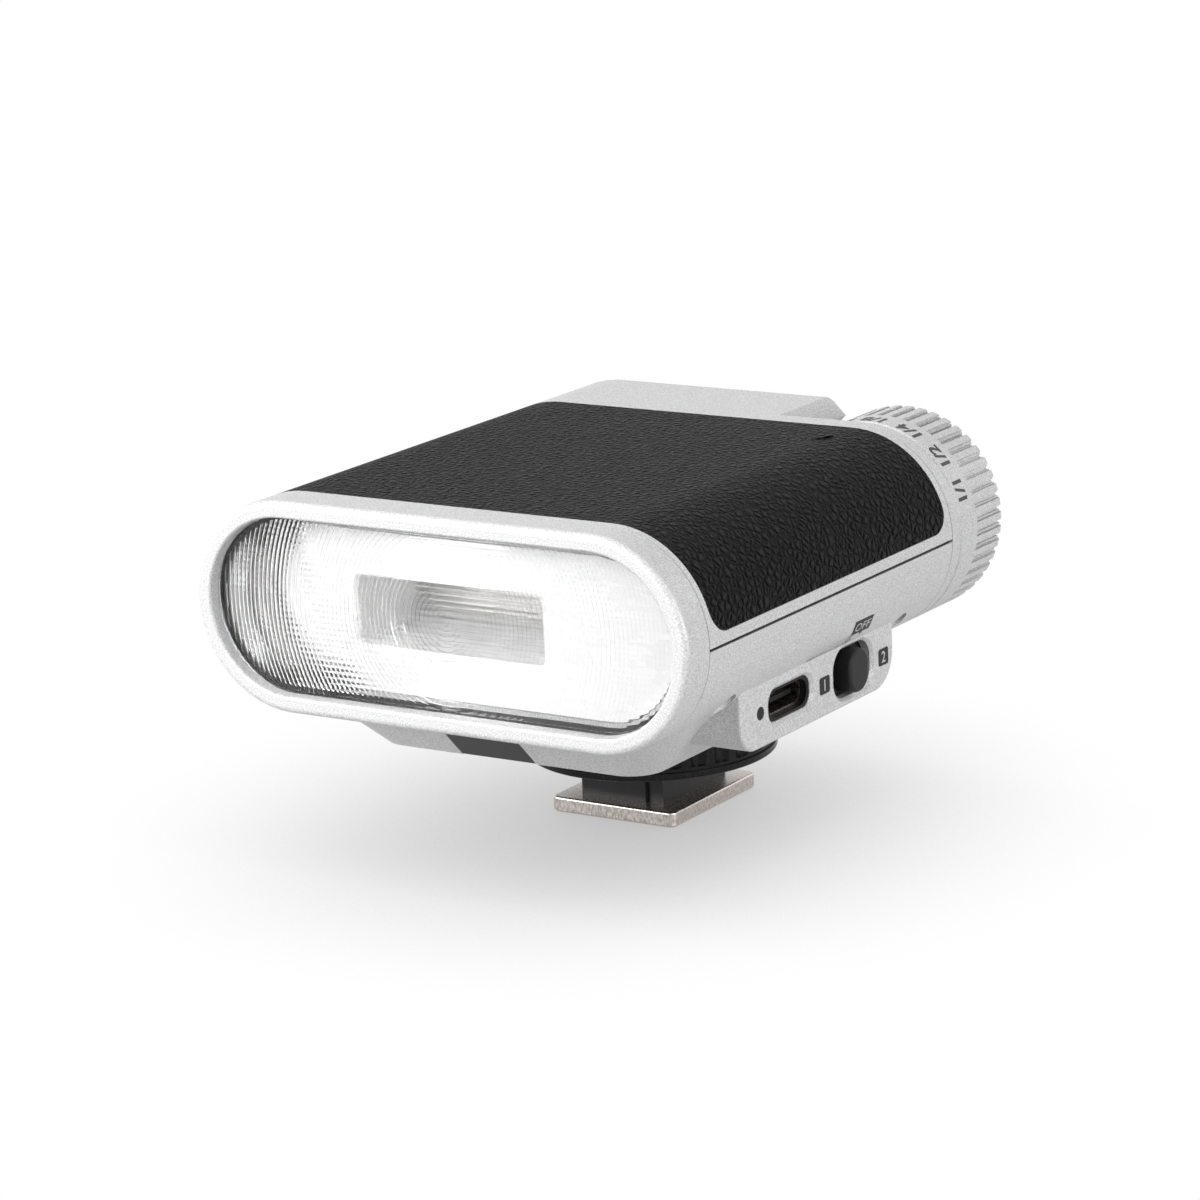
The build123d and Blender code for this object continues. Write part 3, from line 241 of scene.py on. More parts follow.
# ---------------------------------------------------------------- painted shade between the shells
# A thin black strip along each side is painted shade in the open line between the half shells,
# where shade falls. It lies on the lower shell's tongue, a little below the paint.
parting_shade_black = new_finish("parting_shade_black", (0.006, 0.006, 0.006), 0.6)
shader_of(parting_shade_black).inputs["Specular IOR Level"].default_value = 0.2
parting_shade_grain = speckle(parting_shade_black, own_place(parting_shade_black), 0.0002, detail=3)
tint(parting_shade_black, parting_shade_grain, (0.004, 0.004, 0.004), (0.009, 0.009, 0.009))
shell_low, shell_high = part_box("top_shell")
shade_strip_width = 0.00085
shade_strip_height = 0.00034
shade_strip_length = shell_high.y - shell_low.y - 0.0009
shade_strip_inset = 0.0006
shade_strip_drop = 0.00018
shade_strip_corner = 0.0001
for name, side in (("shade_strip_right", 1), ("shade_strip_left", -1)):
    strip = bmesh.new()
    bmesh.ops.create_cube(strip, size=1)
    bmesh.ops.scale(strip, vec=(shade_strip_width, shade_strip_length, shade_strip_height), verts=strip.verts)
    long_edges = [edge for edge in strip.edges if edge.calc_length() > shade_strip_length / 2]
    outer = [edge for edge in long_edges if edge.verts[0].co.x * side > 0]
    bmesh.ops.bevel(
        strip, geom=outer, affect="EDGES", offset=shade_strip_corner, segments=3, profile=0.5, material=-1
    )
    shade_strip_x = side * (shell_high.x - shade_strip_inset)
    shade_strip_y = (shell_low.y + shell_high.y) / 2
    bmesh.ops.translate(strip, vec=(shade_strip_x, shade_strip_y, shell_low.z - shade_strip_drop), verts=strip.verts)
    shade_strip = as_object(name, as_mesh(name, strip), parting_shade_black)
    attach(shade_strip, "housing")

# ---------------------------------------------------------------- stem plate and nut
# Zinc-plated steel inside the base: the plate, its nut and the screws that hold them,
# and the screws in the shells' columns.
dress(steel, "mount_plate", "stem_nut", "mount_screws", "shell_screws")

# ---------------------------------------------------------------- circuit boards
# Green solder mask over woven glass, with pale tracks showing through it. Small steel
# screws hold the main board and the button's board.
board_green = new_finish("circuit_board", (0.02, 0.12, 0.06), 0.32)
board_tree = board_green.node_tree
board_weave = board_tree.nodes.new("ShaderNodeTexBrick")
board_weave.inputs["Scale"].default_value = 420
board_weave.inputs["Color1"].default_value = (0.015, 0.10, 0.05, 1)
board_weave.inputs["Color2"].default_value = (0.02, 0.125, 0.06, 1)
board_weave.inputs["Mortar"].default_value = (0.04, 0.19, 0.10, 1)
board_weave.inputs["Mortar Size"].default_value = 0.04
board_tree.links.new(own_place(board_green), board_weave.inputs["Vector"])
board_tree.links.new(board_weave.outputs["Color"], shader_of(board_green).inputs["Base Color"])
raise_grain(board_green, board_weave.outputs["Fac"], 0.00002, 0.4)
dress(board_green, "main_board", "io_board", "button_board")
dress(steel, "board_screws", "button_screws")

# ---------------------------------------------------------------- power parts on the board
# A storage capacitor and a rechargeable cell in shrink sleeves, their moulded saddle, the
# transformer and trigger coil in yellow tape, and black epoxy for the switching parts.
sleeve = new_finish("capacitor_sleeve", (0.02, 0.022, 0.03), 0.28)
sleeve_grain = speckle(sleeve, own_place(sleeve, stretch=(0.25, 1, 1)), 0.0006, detail=3)
tint(sleeve, sleeve_grain, (0.014, 0.016, 0.024), (0.035, 0.037, 0.046))
raise_grain(sleeve, sleeve_grain, 0.00004, 0.4)
dress(sleeve, "capacitor")

cell_wrap = new_finish("cell_sleeve", (0.03, 0.12, 0.26), 0.3)
cell_grain = speckle(cell_wrap, own_place(cell_wrap, stretch=(0.25, 1, 1)), 0.0007, detail=3)
tint(cell_wrap, cell_grain, (0.02, 0.09, 0.21), (0.04, 0.15, 0.31))
raise_grain(cell_wrap, cell_grain, 0.00004, 0.4)
dress(cell_wrap, "battery_cell")

coil_tape = new_finish("coil", (0.62, 0.42, 0.08), 0.42)
tape_layers = speckle(coil_tape, own_place(coil_tape, stretch=(0.15, 0.15, 1)), 0.00035)
tint(coil_tape, tape_layers, (0.48, 0.30, 0.05), (0.72, 0.52, 0.13))
raise_grain(coil_tape, tape_layers, 0.00006, 0.5)
dress(coil_tape, "charge_transformer", "trigger_coil")

epoxy = new_finish("board_part", (0.03, 0.03, 0.032), 0.5)
epoxy_grain = speckle(epoxy, own_place(epoxy), 0.0003, detail=4)
tint(epoxy, epoxy_grain, (0.02, 0.02, 0.022), (0.045, 0.045, 0.047))
raise_grain(epoxy, epoxy_grain, 0.00002, 0.5)
dress(epoxy, "cell_saddle", "flash_transistor", "mode_switch", "encoder", "receiver_diode")

# ---------------------------------------------------------------- receiver window
# A dark window let into the base's front slope, which passes the trigger light. It is
# moulded and polished, follows the slope and turns its lower edge.
window_dark = new_finish("dark_window", (0.028, 0.026, 0.027), 0.12)
shader_of(window_dark).inputs["Specular IOR Level"].default_value = 0.16
window_haze = speckle(window_dark, own_place(window_dark), 0.004, detail=4)
tint(window_dark, window_haze, (0.006, 0.0055, 0.0058), (0.011, 0.010, 0.0105))
gloss(window_dark, window_haze, 0.08, 0.2)
dress(window_dark, "sensor_window")

# ---------------------------------------------------------------- socket
# Drawn steel shell with its warm sheared edge, a black tongue with gold pads, and the
# dark liner that fills the opening round it. The steel's colour is darkened overall as
# painted shade, so that the inside of the shell looks dark.
# The steel is darker overall as painted shade for the inside of the shell.
socket_steel_and_shade = new_finish("socket_metal", (0.36, 0.31, 0.28), 0.3, metallic=1.0)
socket_grain = speckle(socket_steel_and_shade, own_place(socket_steel_and_shade, stretch=(0.2, 1, 1)), 0.0002, detail=3)
tint(socket_steel_and_shade, socket_grain, (0.30, 0.26, 0.23), (0.42, 0.37, 0.33))
gloss(socket_steel_and_shade, socket_grain, 0.2, 0.36)
dress(socket_steel_and_shade, "usb_shell")

socket_black = new_finish("socket_plastic", (0.008, 0.008, 0.009), 0.46)
shader_of(socket_black).inputs["Specular IOR Level"].default_value = 0.15
socket_black_grain = speckle(socket_black, own_place(socket_black), 0.00015, detail=3)
tint(socket_black, socket_black_grain, (0.004, 0.004, 0.0045), (0.008, 0.008, 0.0085))
raise_grain(socket_black, socket_black_grain, 0.000008, 0.5)
dress(socket_black, "usb_tongue", "pod_liner")
dress(contact_gold, "usb_pads")

# ---------------------------------------------------------------- mode knob
# The slider's knob: dark grey nylon with a fine spark-eroded texture, moulded in one
# with the plate that keeps the slot closed.
knob_grey = new_finish("button_plastic", (0.016, 0.016, 0.0165), 0.5)
shader_of(knob_grey).inputs["Specular IOR Level"].default_value = 0.2
knob_grain = speckle(knob_grey, own_place(knob_grey), 0.00012, detail=4)
tint(knob_grey, knob_grain, (0.011, 0.011, 0.0115), (0.022, 0.022, 0.0225))
gloss(knob_grey, knob_grain, 0.42, 0.6)
raise_grain(knob_grey, knob_grain, 0.000014, 0.8)
dress(knob_grey, "mode_knob")

# ---------------------------------------------------------------- charge lamp
# A smoked light pipe moulded in acrylic, almost black while the lamp is off. The lamp's
# chip sits behind it.
lamp_smoke = new_finish("lamp_plastic", (0.012, 0.013, 0.018), 0.14)
shader_of(lamp_smoke).inputs["Specular IOR Level"].default_value = 0.15
lamp_haze = speckle(lamp_smoke, own_place(lamp_smoke), 0.0005)
tint(lamp_smoke, lamp_haze, (0.005, 0.0055, 0.008), (0.011, 0.012, 0.016))
dress(lamp_smoke, "charge_lamp")

# ---------------------------------------------------------------- printed marks by the switch
# Small dark tiles with pale numbers beside the slot, and a leaning OFF flag above it,
# pad-printed on the paint.
ink_dark = new_finish("dark_ink", (0.018, 0.018, 0.0185), 0.5)
shader_of(ink_dark).inputs["Specular IOR Level"].default_value = 0.2
ink_grain = speckle(ink_dark, own_place(ink_dark), 0.00012, detail=3)
tint(ink_dark, ink_grain, (0.013, 0.013, 0.0135), (0.024, 0.024, 0.0245))
ink_pale = new_finish("pale_ink", (0.52, 0.52, 0.525), 0.45)
pale_grain = speckle(ink_pale, own_place(ink_pale), 0.00012, detail=3)
tint(ink_pale, pale_grain, (0.46, 0.46, 0.465), (0.58, 0.58, 0.585))

knob_low, knob_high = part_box("mode_knob")
dial_low, dial_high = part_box("power_dial")
body_radius = (dial_high.z - dial_low.z) / 2
body_axis = Vector((dial_high.x - body_radius, 0, (dial_low.z + dial_high.z) / 2))
slot_y = (knob_low.y + knob_high.y) / 2
slot_z = 0.0217
knob_proud = 0.0009
face_x = knob_high.x - knob_proud
ink_film = 0.000008
ink_height = 0.000012


def lettering(text, height, weight=0.0, lean=0.0):
    """Printed words as a thin flat mesh centred on the origin, reading along X."""
    capital_share = 0.73
    words = bpy.data.curves.new("words", "FONT")
    words.body = text
    words.size = height / capital_share
    words.offset = weight
    words.shear = lean
    words.extrude = ink_film
    words.resolution_u = 4
    stand = bpy.data.objects.new("words", words)
    bpy.context.scene.collection.objects.link(stand)
    bpy.context.view_layer.update()
    seen = stand.evaluated_get(bpy.context.evaluated_depsgraph_get())
    mesh = bpy.data.meshes.new_from_object(seen)
    bpy.data.objects.remove(stand)
    corners = [v.co for v in mesh.vertices]
    middle = [(min(c[i] for c in corners) + max(c[i] for c in corners)) / 2 for i in range(2)]
    mesh.transform(Matrix.Translation((-middle[0], -middle[1], 0)))
    return mesh


def tile(width, height, corner):
    """A thin printed patch with rounded corners, centred on the origin."""
    patch = bmesh.new()
    bmesh.ops.create_grid(patch, x_segments=1, y_segments=1, size=0.5)
    bmesh.ops.scale(patch, vec=(width, height, 1), verts=patch.verts)
    bmesh.ops.bevel(
        patch, geom=patch.verts, affect="VERTICES", offset=corner, segments=5, profile=0.5, material=-1
    )
    return as_mesh("patch", patch)


def on_pod(mesh, y, z, proud):
    """Stands a flat print on the pod's face: its X runs back along +Y, its Y up."""
    mesh.transform(Matrix(((0, 0, 1, face_x + proud), (1, 0, 0, y), (0, 1, 0, z), (0, 0, 0, 1))))


def round_axis(mesh, start, y, proud):
    """Bends a flat print round the body's axis: Y climbs from the start angle, X runs back."""
    for point in mesh.vertices:
        angle = start + point.co.y / body_radius
        reach = body_radius + proud + point.co.z
        point.co = (
            body_axis.x + reach * math.cos(angle),
            y + point.co.x,
            body_axis.z + reach * math.sin(angle),
        )


mark_reach = 0.0073
mark_shift = 0.00015
mark_z = slot_z - 0.0002
over_tile = 0.000032
for text, side in (("1", -1), ("2", 1)):
    mark_y = slot_y + side * mark_reach + mark_shift
    backing = tile(width=0.0025, height=0.0022, corner=0.00035)
    on_pod(backing, mark_y, mark_z, ink_height)
    back_print = as_object("position_tile_" + text, backing, ink_dark)
    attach(back_print, "housing")
    digit = lettering(text, 0.0015, weight=0.00002)
    on_pod(digit, mark_y, mark_z, over_tile)
    number_print = as_object("position_number_" + text, digit, ink_pale)
    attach(number_print, "housing")

flag_width = 0.0045
flag_height = 0.0024
flag_lean = -0.25
flag_y = slot_y - 0.0001
flag_z = 0.02755
flag_angle = math.asin((flag_z - body_axis.z) / body_radius)
tip_r = 0.00045
tip_place = (0.0003, -0.00138, 0)
over_flag = 0.00005
flag = bmesh.new()
bmesh.ops.create_grid(flag, x_segments=4, y_segments=10, size=0.5)
bmesh.ops.scale(flag, vec=(flag_width, flag_height, 1), verts=flag.verts)
tip = bmesh.ops.create_circle(flag, cap_ends=True, segments=3, radius=tip_r)
bmesh.ops.rotate(flag, matrix=Matrix.Rotation(math.pi, 3, "Z"), verts=tip["verts"])
bmesh.ops.translate(flag, vec=tip_place, verts=tip["verts"])
for point in flag.verts:
    point.co.x += flag_lean * point.co.y
bmesh.ops.recalc_face_normals(flag, faces=flag.faces)
flag_mesh = as_mesh("flag", flag)
round_axis(flag_mesh, flag_angle, flag_y, ink_height)
flag_print = as_object("off_flag", flag_mesh, ink_dark)
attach(flag_print, "housing")
off_word = lettering("OFF", 0.0014, lean=flag_lean)
word_widening = 1.12
off_word.transform(Matrix.Scale(word_widening, 4, (1, 0, 0)))
round_axis(off_word, flag_angle, flag_y, over_flag)
off_print = as_object("off_word", off_word, ink_pale)
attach(off_print, "housing")

# ---------------------------------------------------------------- leather cover
# Black grained leather glued into the top shell's recess. Its pebbles are about a
# millimetre across, with pits between them that the bump sinks and that are painted darker
# as shade, and a soft shine on their tops.
leather = new_finish("leather", (0.012, 0.012, 0.013), 0.6)
shader_of(leather).inputs["Specular IOR Level"].default_value = 0.08
leather_tree = leather.node_tree
leather_place = own_place(leather)
pebbles_per_metre = 930
edge_wander = 0.00045
drift = leather_tree.nodes.new("ShaderNodeTexNoise")
drift.inputs["Scale"].default_value = 600
drift.inputs["Detail"].default_value = 2
leather_tree.links.new(leather_place, drift.inputs["Vector"])
drift_small = leather_tree.nodes.new("ShaderNodeVectorMath")
drift_small.operation = "SCALE"
drift_small.inputs["Scale"].default_value = edge_wander
leather_tree.links.new(drift.outputs["Color"], drift_small.inputs[0])
drifted = leather_tree.nodes.new("ShaderNodeVectorMath")
drifted.operation = "ADD"
leather_tree.links.new(leather_place, drifted.inputs[0])
leather_tree.links.new(drift_small.outputs["Vector"], drifted.inputs[1])
pebbles = leather_tree.nodes.new("ShaderNodeTexVoronoi")
pebbles.feature = "DISTANCE_TO_EDGE"
pebbles.inputs["Scale"].default_value = pebbles_per_metre
leather_tree.links.new(drifted.outputs["Vector"], pebbles.inputs["Vector"])
pebble_top = leather_tree.nodes.new("ShaderNodeMapRange")
pebble_top.interpolation_type = "SMOOTHSTEP"
pebble_top.inputs["From Min"].default_value = 0.0
pebble_top.inputs["From Max"].default_value = 0.5
leather_tree.links.new(pebbles.outputs["Distance"], pebble_top.inputs["Value"])
pores = speckle(leather, leather_place, 0.00025, detail=3)
leather_height = leather_tree.nodes.new("ShaderNodeMath")
leather_height.operation = "MULTIPLY_ADD"
leather_height.inputs[1].default_value = 0.25
leather_tree.links.new(pores, leather_height.inputs[0])
leather_tree.links.new(pebble_top.outputs["Result"], leather_height.inputs[2])
pit_painted_shade = (0.0008, 0.0008, 0.001)
pebble_black = (0.018, 0.018, 0.0184)
# The pits' near-black colour is painted shade in the creases between the pebbles.
tint(leather, pebble_top.outputs["Result"], pit_painted_shade, pebble_black, 0.12, 0.75)
gloss(leather, pores, 0.42, 0.6)
raise_grain(leather, leather_height.outputs["Value"], 0.0012, 1.0)
dress(leather, "leather_wrap")

# ---------------------------------------------------------------- reflector and flash tube
# Pressed from thin metal sheet, coloured near-white as painted reflection: the pale, almost
# diffuse colour stands in for the bright light the polished sheet throws back. A flange fills
# the window, and a narrow trough in its middle wraps the glass tube with its round back.
# Silicone sleeves hold the tube's ends, where its electrode pins come out.
flange_low, flange_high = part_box("reflector")
tube_low, tube_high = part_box("xenon_tube")
tube_y = (tube_low.y + tube_high.y) / 2
tube_r = (tube_high.z - tube_low.z) / 2
sheet_thickness = 0.0004
flange_y = flange_low.y + 0.0001
flange_r = (flange_high.z - flange_low.z) / 2
back_r = tube_r + 0.0007
back_half_w = 0.0130
back_corner = 0.0005


def oval_ring(shape, half_w, half_h, corner, depth):
    """The 64 edges of an upright rounded rectangle round the body's centre line."""
    corners = bmesh.ops.create_grid(shape, x_segments=1, y_segments=1, size=1)["verts"]
    bmesh.ops.scale(shape, vec=(half_w, half_h, 1), verts=corners)
    bmesh.ops.rotate(shape, matrix=upright, verts=corners)
    bmesh.ops.translate(shape, vec=(0, depth, body_axis.z), verts=corners)
    rounded = bmesh.ops.bevel(
        shape, geom=corners, affect="VERTICES", offset=corner, segments=15, profile=0.5, material=-1
    )
    filling = rounded["verts"][0].link_faces[0]
    ring = filling.edges[:]
    bmesh.ops.delete(shape, geom=[filling], context="FACES_ONLY")
    return ring


# Half width, half height, corner and depth of each ring of the pressing, front to back.
pressing_rings = [
    (flange_high.x, flange_r, flange_r, flange_y),
    (0.01405, 0.0047, 0.0012, flange_y),
    (0.0137, 0.00435, 0.0009, flange_y + 0.0003),
    (0.0136, 0.0042, 0.0009, flange_y + 0.004),
    (0.0134, 0.0038, 0.0008, tube_y - 0.0025),
    (0.0131, back_r, back_corner, tube_y),
]
for swing in (25, 50, 72, 86):
    half = back_r * math.cos(math.radians(swing))
    round_depth = back_r * math.sin(math.radians(swing))
    pressing_rings.append((back_half_w, half, min(back_corner, half), tube_y + round_depth))
pressing = bmesh.new()
ring_before = oval_ring(pressing, *pressing_rings[0])
for sizes_here in pressing_rings[1:]:
    ring_here = oval_ring(pressing, *sizes_here)
    bmesh.ops.bridge_loops(pressing, edges=ring_before + ring_here)
    ring_before = ring_here
bmesh.ops.holes_fill(pressing, edges=ring_before, sides=0)
bmesh.ops.recalc_face_normals(pressing, faces=pressing.faces)

# Painted reflection: near-white and almost diffuse in place of polished metal.
pressed_painted_reflection = new_finish("reflector_metal", (0.94, 0.94, 0.94), 0.24, metallic=0.05)
pressed_place = own_place(pressed_painted_reflection, stretch=(0.3, 1, 1))
pressed_grain = speckle(pressed_painted_reflection, pressed_place, 0.002, detail=3)
tint(pressed_painted_reflection, pressed_grain, (0.965, 0.965, 0.965), (0.985, 0.985, 0.985))
gloss(pressed_painted_reflection, pressed_grain, 0.24, 0.30)
raise_grain(pressed_painted_reflection, pressed_grain, 0.00001, 0.3)
trough = as_object("reflector_pressing", as_mesh("pressing", pressing), pressed_painted_reflection)
sheet = trough.modifiers.new("sheet", "SOLIDIFY")
sheet.thickness = sheet_thickness
sheet.offset = -1
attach(trough, "housing")
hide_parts("reflector")

tube_glass = new_finish("tube_glass", (0.97, 0.96, 0.94), 0.02)
shader_of(tube_glass).inputs["Transmission Weight"].default_value = 0.9
shader_of(tube_glass).inputs["IOR"].default_value = 1.46
tube_haze = speckle(tube_glass, own_place(tube_glass), 0.003)
gloss(tube_glass, tube_haze, 0.01, 0.06)
dress(tube_glass, "xenon_tube")
dress(steel, "tube_pins")

sleeve_rubber = new_finish("sleeve_rubber", (0.60, 0.58, 0.54), 0.6)
rubber_grain = speckle(sleeve_rubber, own_place(sleeve_rubber), 0.0003)
tint(sleeve_rubber, rubber_grain, (0.52, 0.50, 0.46), (0.66, 0.64, 0.60))
dress(sleeve_rubber, "tube_sleeves")

# ---------------------------------------------------------------- lens and gasket
# Injection-moulded clear acrylic. Its back is cut into fine prism rings round one centre,
# steeper towards the ends, and shallow flutes cross its front in rows; a black foam gasket
# closes it to the frame.
lens_low, lens_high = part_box("fresnel_lens")
lens_r = (lens_high.z - lens_low.z) / 2
ring_pitch = 0.00062
ring_total = math.ceil(lens_high.x / ring_pitch) + 1
first_slope = math.radians(2.5)
last_slope = math.radians(28)
tooth_share = 0.96
tooth_foot = lens_high.y - ring_pitch * math.tan(last_slope)
lens_disc = bmesh.new()
section = []
for count in range(ring_total):
    slope = first_slope + (last_slope - first_slope) * count / ring_total
    tooth_tip = tooth_foot + ring_pitch * math.tan(slope)
    tip_reach = (count + tooth_share) * ring_pitch
    section.append(lens_disc.verts.new((count * ring_pitch, tooth_foot, body_axis.z)))
    section.append(lens_disc.verts.new((tip_reach, tooth_tip, body_axis.z)))
section.append(lens_disc.verts.new((ring_total * ring_pitch, lens_low.y, body_axis.z)))
section.append(lens_disc.verts.new((0, lens_low.y, body_axis.z)))
for first, second in zip(section, section[1:]):
    lens_disc.edges.new((first, second))
bmesh.ops.spin(
    lens_disc,
    geom=lens_disc.verts[:] + lens_disc.edges[:],
    axis=(0, 1, 0),
    cent=(0, 0, body_axis.z),
    angle=math.tau,
    steps=168,
    use_merge=True,
)
bmesh.ops.remove_doubles(lens_disc, verts=lens_disc.verts, dist=0.000002)
bmesh.ops.recalc_face_normals(lens_disc, faces=lens_disc.faces)

outline_edges = 96
outline_front = lens_low.y - 0.002
outline_depth = 0.006
outline = bmesh.new()
bmesh.ops.create_circle(outline, cap_ends=True, segments=outline_edges, radius=lens_r)
half_step = Matrix.Rotation(math.pi / outline_edges, 3, "Z")
bmesh.ops.rotate(outline, matrix=half_step, verts=outline.verts)
for point in outline.verts:
    point.co.x += math.copysign(lens_high.x - lens_r, point.co.x)
bmesh.ops.rotate(outline, matrix=upright, verts=outline.verts)
bmesh.ops.translate(outline, vec=(0, outline_front, body_axis.z), verts=outline.verts)
pushed = bmesh.ops.extrude_face_region(outline, geom=outline.faces[:])
pushed_points = [item for item in pushed["geom"] if isinstance(item, bmesh.types.BMVert)]
bmesh.ops.translate(outline, vec=(0, outline_depth, 0), verts=pushed_points)
bmesh.ops.recalc_face_normals(outline, faces=outline.faces)

lens_clear = new_finish("clear_lens", (0.99, 0.99, 0.99), 0.03)
shader_of(lens_clear).inputs["Transmission Weight"].default_value = 1.0
shader_of(lens_clear).inputs["IOR"].default_value = 1.49
lens_tree = lens_clear.node_tree
flute_pitch = 0.00072
waves_per_unit = 20 / math.tau
flutes = lens_tree.nodes.new("ShaderNodeTexWave")
flutes.wave_type = "BANDS"
flutes.bands_direction = "Z"
flutes.wave_profile = "SIN"
flutes.inputs["Scale"].default_value = 1 / (waves_per_unit * flute_pitch)
lens_tree.links.new(own_place(lens_clear, centre=(0, 0, body_axis.z)), flutes.inputs["Vector"])
raise_grain(lens_clear, flutes.outputs["Fac"], 0.00002, 0.8)
cutter = as_object("lens_outline", as_mesh("lens_outline", outline), lens_clear)
lens = as_object("ring_lens", as_mesh("lens", lens_disc), lens_clear)
trim = lens.modifiers.new("trim", "BOOLEAN")
trim.operation = "INTERSECT"
trim.solver = "EXACT"
trim.object = cutter
bpy.context.view_layer.update()
trimmed = bpy.data.meshes.new_from_object(lens.evaluated_get(bpy.context.evaluated_depsgraph_get()))
lens.modifiers.clear()
lens.data = trimmed
bpy.data.objects.remove(cutter)
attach(lens, "housing")
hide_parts("fresnel_lens")

foam = new_finish("black_foam", (0.02, 0.02, 0.02), 0.9)
foam_cells = speckle(foam, own_place(foam), 0.0002, detail=4)
tint(foam, foam_cells, (0.01, 0.01, 0.01), (0.04, 0.04, 0.04))
raise_grain(foam, foam_cells, 0.00004, 0.8)
foam_low, foam_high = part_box("lens_gasket")
foam_r = (foam_high.z - foam_low.z) / 2
foam_w = 0.00042
foam_ring = bmesh.new()
hoops = []
foam_front, foam_back = foam_low.y, foam_high.y
for inset, depth in ((0, foam_front), (foam_w, foam_front), (foam_w, foam_back), (0, foam_back)):
    hoop_r = foam_r - inset
    hoops.append(oval_ring(foam_ring, foam_high.x - inset, hoop_r, hoop_r, depth))
for number, hoop in enumerate(hoops):
    bmesh.ops.bridge_loops(foam_ring, edges=hoops[number - 1] + hoop)
bmesh.ops.recalc_face_normals(foam_ring, faces=foam_ring.faces)
rim_seal = as_object("rim_gasket", as_mesh("foam_ring", foam_ring), foam)
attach(rim_seal, "housing")
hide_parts("lens_gasket")

# ---------------------------------------------------------------- test button and dial cap
# The button's cap in the rear housing's back, which a flange keeps in its hole, and the
# turned disc that closes the dial's end. Both have a satin metal finish.
cap_metal = silver("silver_metal", (0.58, 0.58, 0.585), 0.05, 0.28, 0.38)
shader_of(cap_metal).inputs["Metallic"].default_value = 0.8
dress(cap_metal, "test_button", "dial_cap")

# ---------------------------------------------------------------- power dial
# Painted like the shells, with flat-topped ribs. Its numbers are printed round the smooth
# band, each a half of the one before, and read from behind the flash.
dress(shell_paint, "power_dial")
dress(steel, "dial_shaft")

dial_ink = new_finish("dial_ink", (0.018, 0.018, 0.019), 0.45)
dial_ink_grain = speckle(dial_ink, own_place(dial_ink), 0.00012, detail=3)
tint(dial_ink, dial_ink_grain, (0.013, 0.013, 0.014), (0.028, 0.028, 0.029))

number_step = math.radians(22.5)
number_y = dial_low.y + 0.00175
number_width = 0.0046
marks = ("1/1", "1/2", "1/4", "1/8", "1/16", "1/32", "1/64")
for place_on_dial, text in enumerate(marks):
    middle = math.radians(90) + (place_on_dial - len(marks) // 2) * number_step
    number = lettering(text, 0.0021, weight=0.0001)
    printed_width = 2 * max(point.co.x for point in number.vertices)
    number.transform(Matrix.Scale(min(1, number_width / printed_width), 4, (1, 0, 0)))
    number.transform(Matrix.Rotation(math.radians(90), 4, "Z"))
    round_axis(number, middle, number_y, ink_height)
    dial_number = as_object("dial_number_" + str(place_on_dial + 1), number, dial_ink)
    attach(dial_number, "dial")

# ---------------------------------------------------------------- floor and light
# A plain floor that shows white, with a soft shadow under the flash painted into its glow,
# a pale room, and four large soft boxes: in front to the left, at the right, above, and a
# weak one behind.
floor_gap = 0.00005
floor_shape = bmesh.new()
bmesh.ops.create_grid(floor_shape, x_segments=1, y_segments=1, size=4)
bmesh.ops.translate(floor_shape, vec=(0, 0, -floor_gap), verts=floor_shape.verts)


def seen_plainly(tree):
    """One for the camera and for rays sent on by glass or gloss, nought for light on the object."""
    path = tree.nodes.new("ShaderNodeLightPath")
    seen = path.outputs["Is Camera Ray"]
    for kind in ("Is Transmission Ray", "Is Glossy Ray"):
        either = tree.nodes.new("ShaderNodeMath")
        either.operation = "MAXIMUM"
        tree.links.new(seen, either.inputs[0])
        tree.links.new(path.outputs[kind], either.inputs[1])
        seen = either.outputs["Value"]
    return seen


floor_white = new_finish("floor_white", (0.40, 0.40, 0.40), 0.9)
floor_tree = floor_white.node_tree
# Painted shadow: the floor's glow dims where occlusion finds the flash close by.
occlusion = floor_tree.nodes.new("ShaderNodeAmbientOcclusion")
occlusion.inputs["Distance"].default_value = 0.05
occlusion.samples = 8
near_shade = floor_tree.nodes.new("ShaderNodeMapRange")
near_shade.inputs["From Max"].default_value = 0.85
near_shade.inputs["To Min"].default_value = 0.45
floor_tree.links.new(occlusion.outputs["AO"], near_shade.inputs["Value"])
glow_and_painted_shadow = floor_tree.nodes.new("ShaderNodeEmission")
floor_tree.links.new(near_shade.outputs["Result"], glow_and_painted_shadow.inputs["Strength"])
floor_mix = floor_tree.nodes.new("ShaderNodeMixShader")
floor_end = floor_tree.nodes["Material Output"]
floor_tree.links.new(seen_plainly(floor_tree), floor_mix.inputs["Fac"])
floor_tree.links.new(shader_of(floor_white).outputs["BSDF"], floor_mix.inputs[1])
floor_tree.links.new(glow_and_painted_shadow.outputs["Emission"], floor_mix.inputs[2])
floor_tree.links.new(floor_mix.outputs["Shader"], floor_end.inputs["Surface"])
floor = as_object("floor", as_mesh("floor", floor_shape), floor_white)

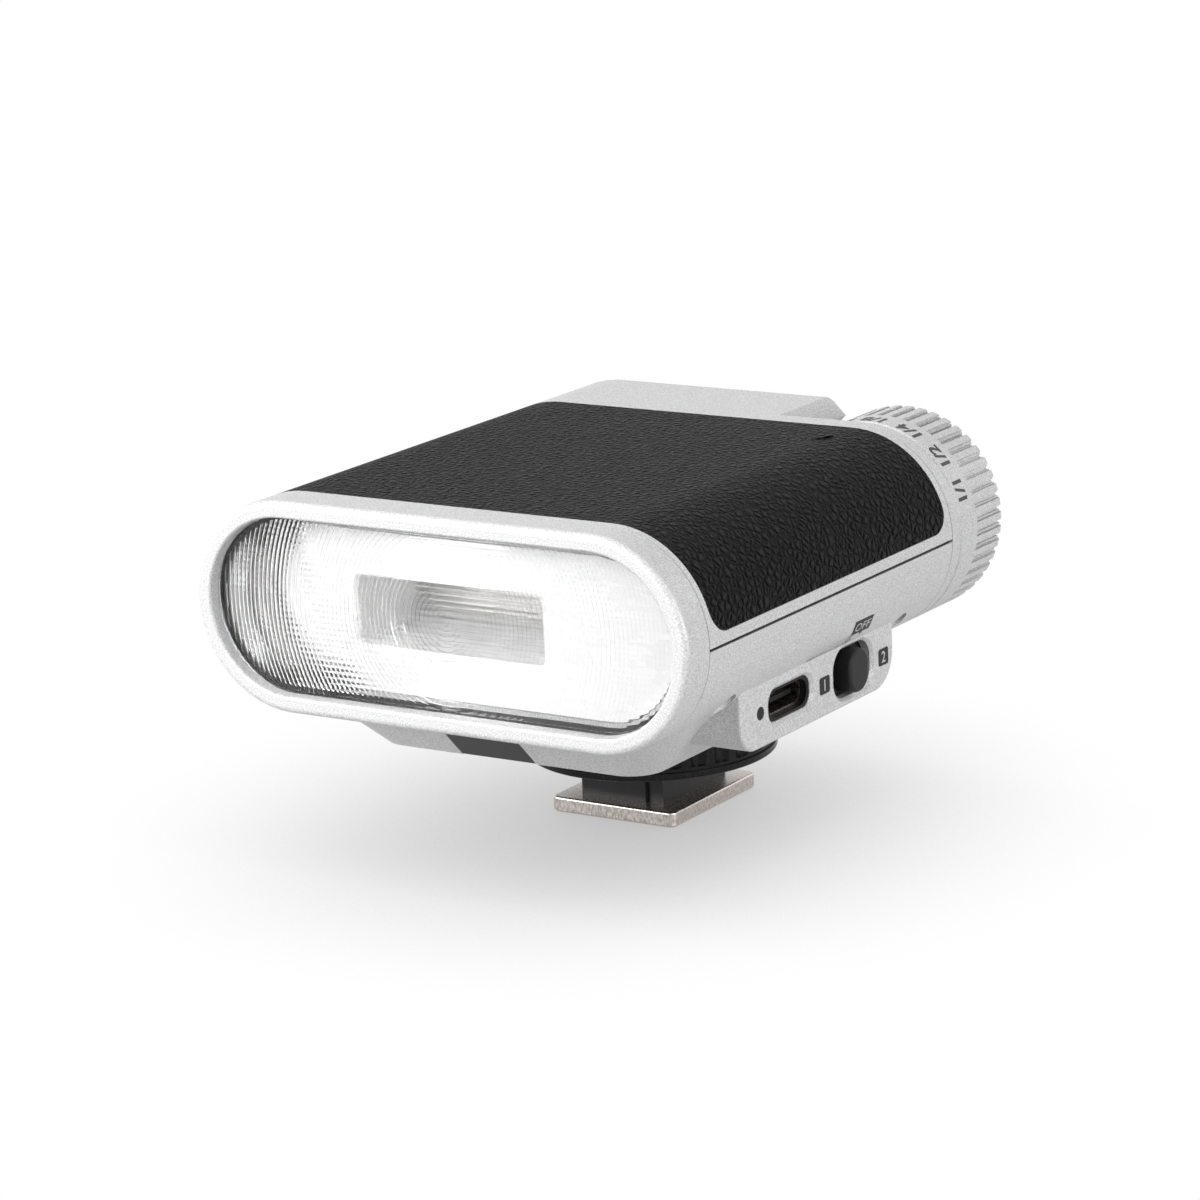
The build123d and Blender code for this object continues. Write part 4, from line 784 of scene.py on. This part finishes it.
room = bpy.data.worlds.new("room")
room.use_nodes = True
bpy.context.scene.world = room
room_tree = room.node_tree
room_light = room_tree.nodes["Background"]
room_light.inputs["Color"].default_value = (1, 1, 1, 1)
room_level = room_tree.nodes.new("ShaderNodeMapRange")
room_level.inputs["To Min"].default_value = 0.11
room_level.inputs["To Max"].default_value = 1.0
room_tree.links.new(seen_plainly(room_tree), room_level.inputs["Value"])
room_tree.links.new(room_level.outputs["Result"], room_light.inputs["Strength"])

lit_point = Vector((0, 0, 0.03))


def soft_box(name, where, size, watts):
    """A square soft box at a place, facing the flash."""
    lamp = bpy.data.lights.new(name, "AREA")
    lamp.shape = "SQUARE"
    lamp.size = size
    lamp.energy = watts
    stand = bpy.data.objects.new(name, lamp)
    bpy.context.scene.collection.objects.link(stand)
    stand.location = where
    stand.rotation_mode = "QUATERNION"
    stand.rotation_quaternion = (lit_point - Vector(where)).to_track_quat("-Z", "Y")


soft_box("front_box", where=(-0.46, -0.78, 0.54), size=0.9, watts=20.0)
soft_box("side_box", where=(0.95, -0.12, 0.14), size=0.6, watts=8.0)
soft_box("top_box", where=(-0.2, 0.3, 0.9), size=0.7, watts=0.4)
soft_box("back_box", where=(0.62, 0.85, 0.55), size=0.6, watts=1.0)

# ---------------------------------------------------------------- camera
# A long lens in front of the flash and to its right, a little above it and held with a
# slight lean.
aim = Vector((-0.01401, 0.0104, 0.02265))
camera_distance = 0.58217
turn = math.radians(33.62)
tilt = math.radians(14.24)
lean = math.radians(-2.65)
away = Vector((math.sin(turn) * math.cos(tilt), -math.cos(turn) * math.cos(tilt), math.sin(tilt)))
across = Vector((math.cos(turn), math.sin(turn), 0))
upward = away.cross(across)
side_axis = across * math.cos(lean) + upward * math.sin(lean)
head_axis = upward * math.cos(lean) - across * math.sin(lean)
camera = bpy.data.objects.new("camera", bpy.data.cameras.new("camera"))
bpy.context.scene.collection.objects.link(camera)
camera.data.lens = 132.4
camera.data.sensor_width = 36
camera.data.clip_start = 0.01
facing = Matrix((side_axis, head_axis, away)).transposed().to_4x4()
camera.matrix_world = Matrix.Translation(aim + away * camera_distance) @ facing
bpy.context.scene.camera = camera
bpy.context.scene.view_settings.view_transform = "Standard"
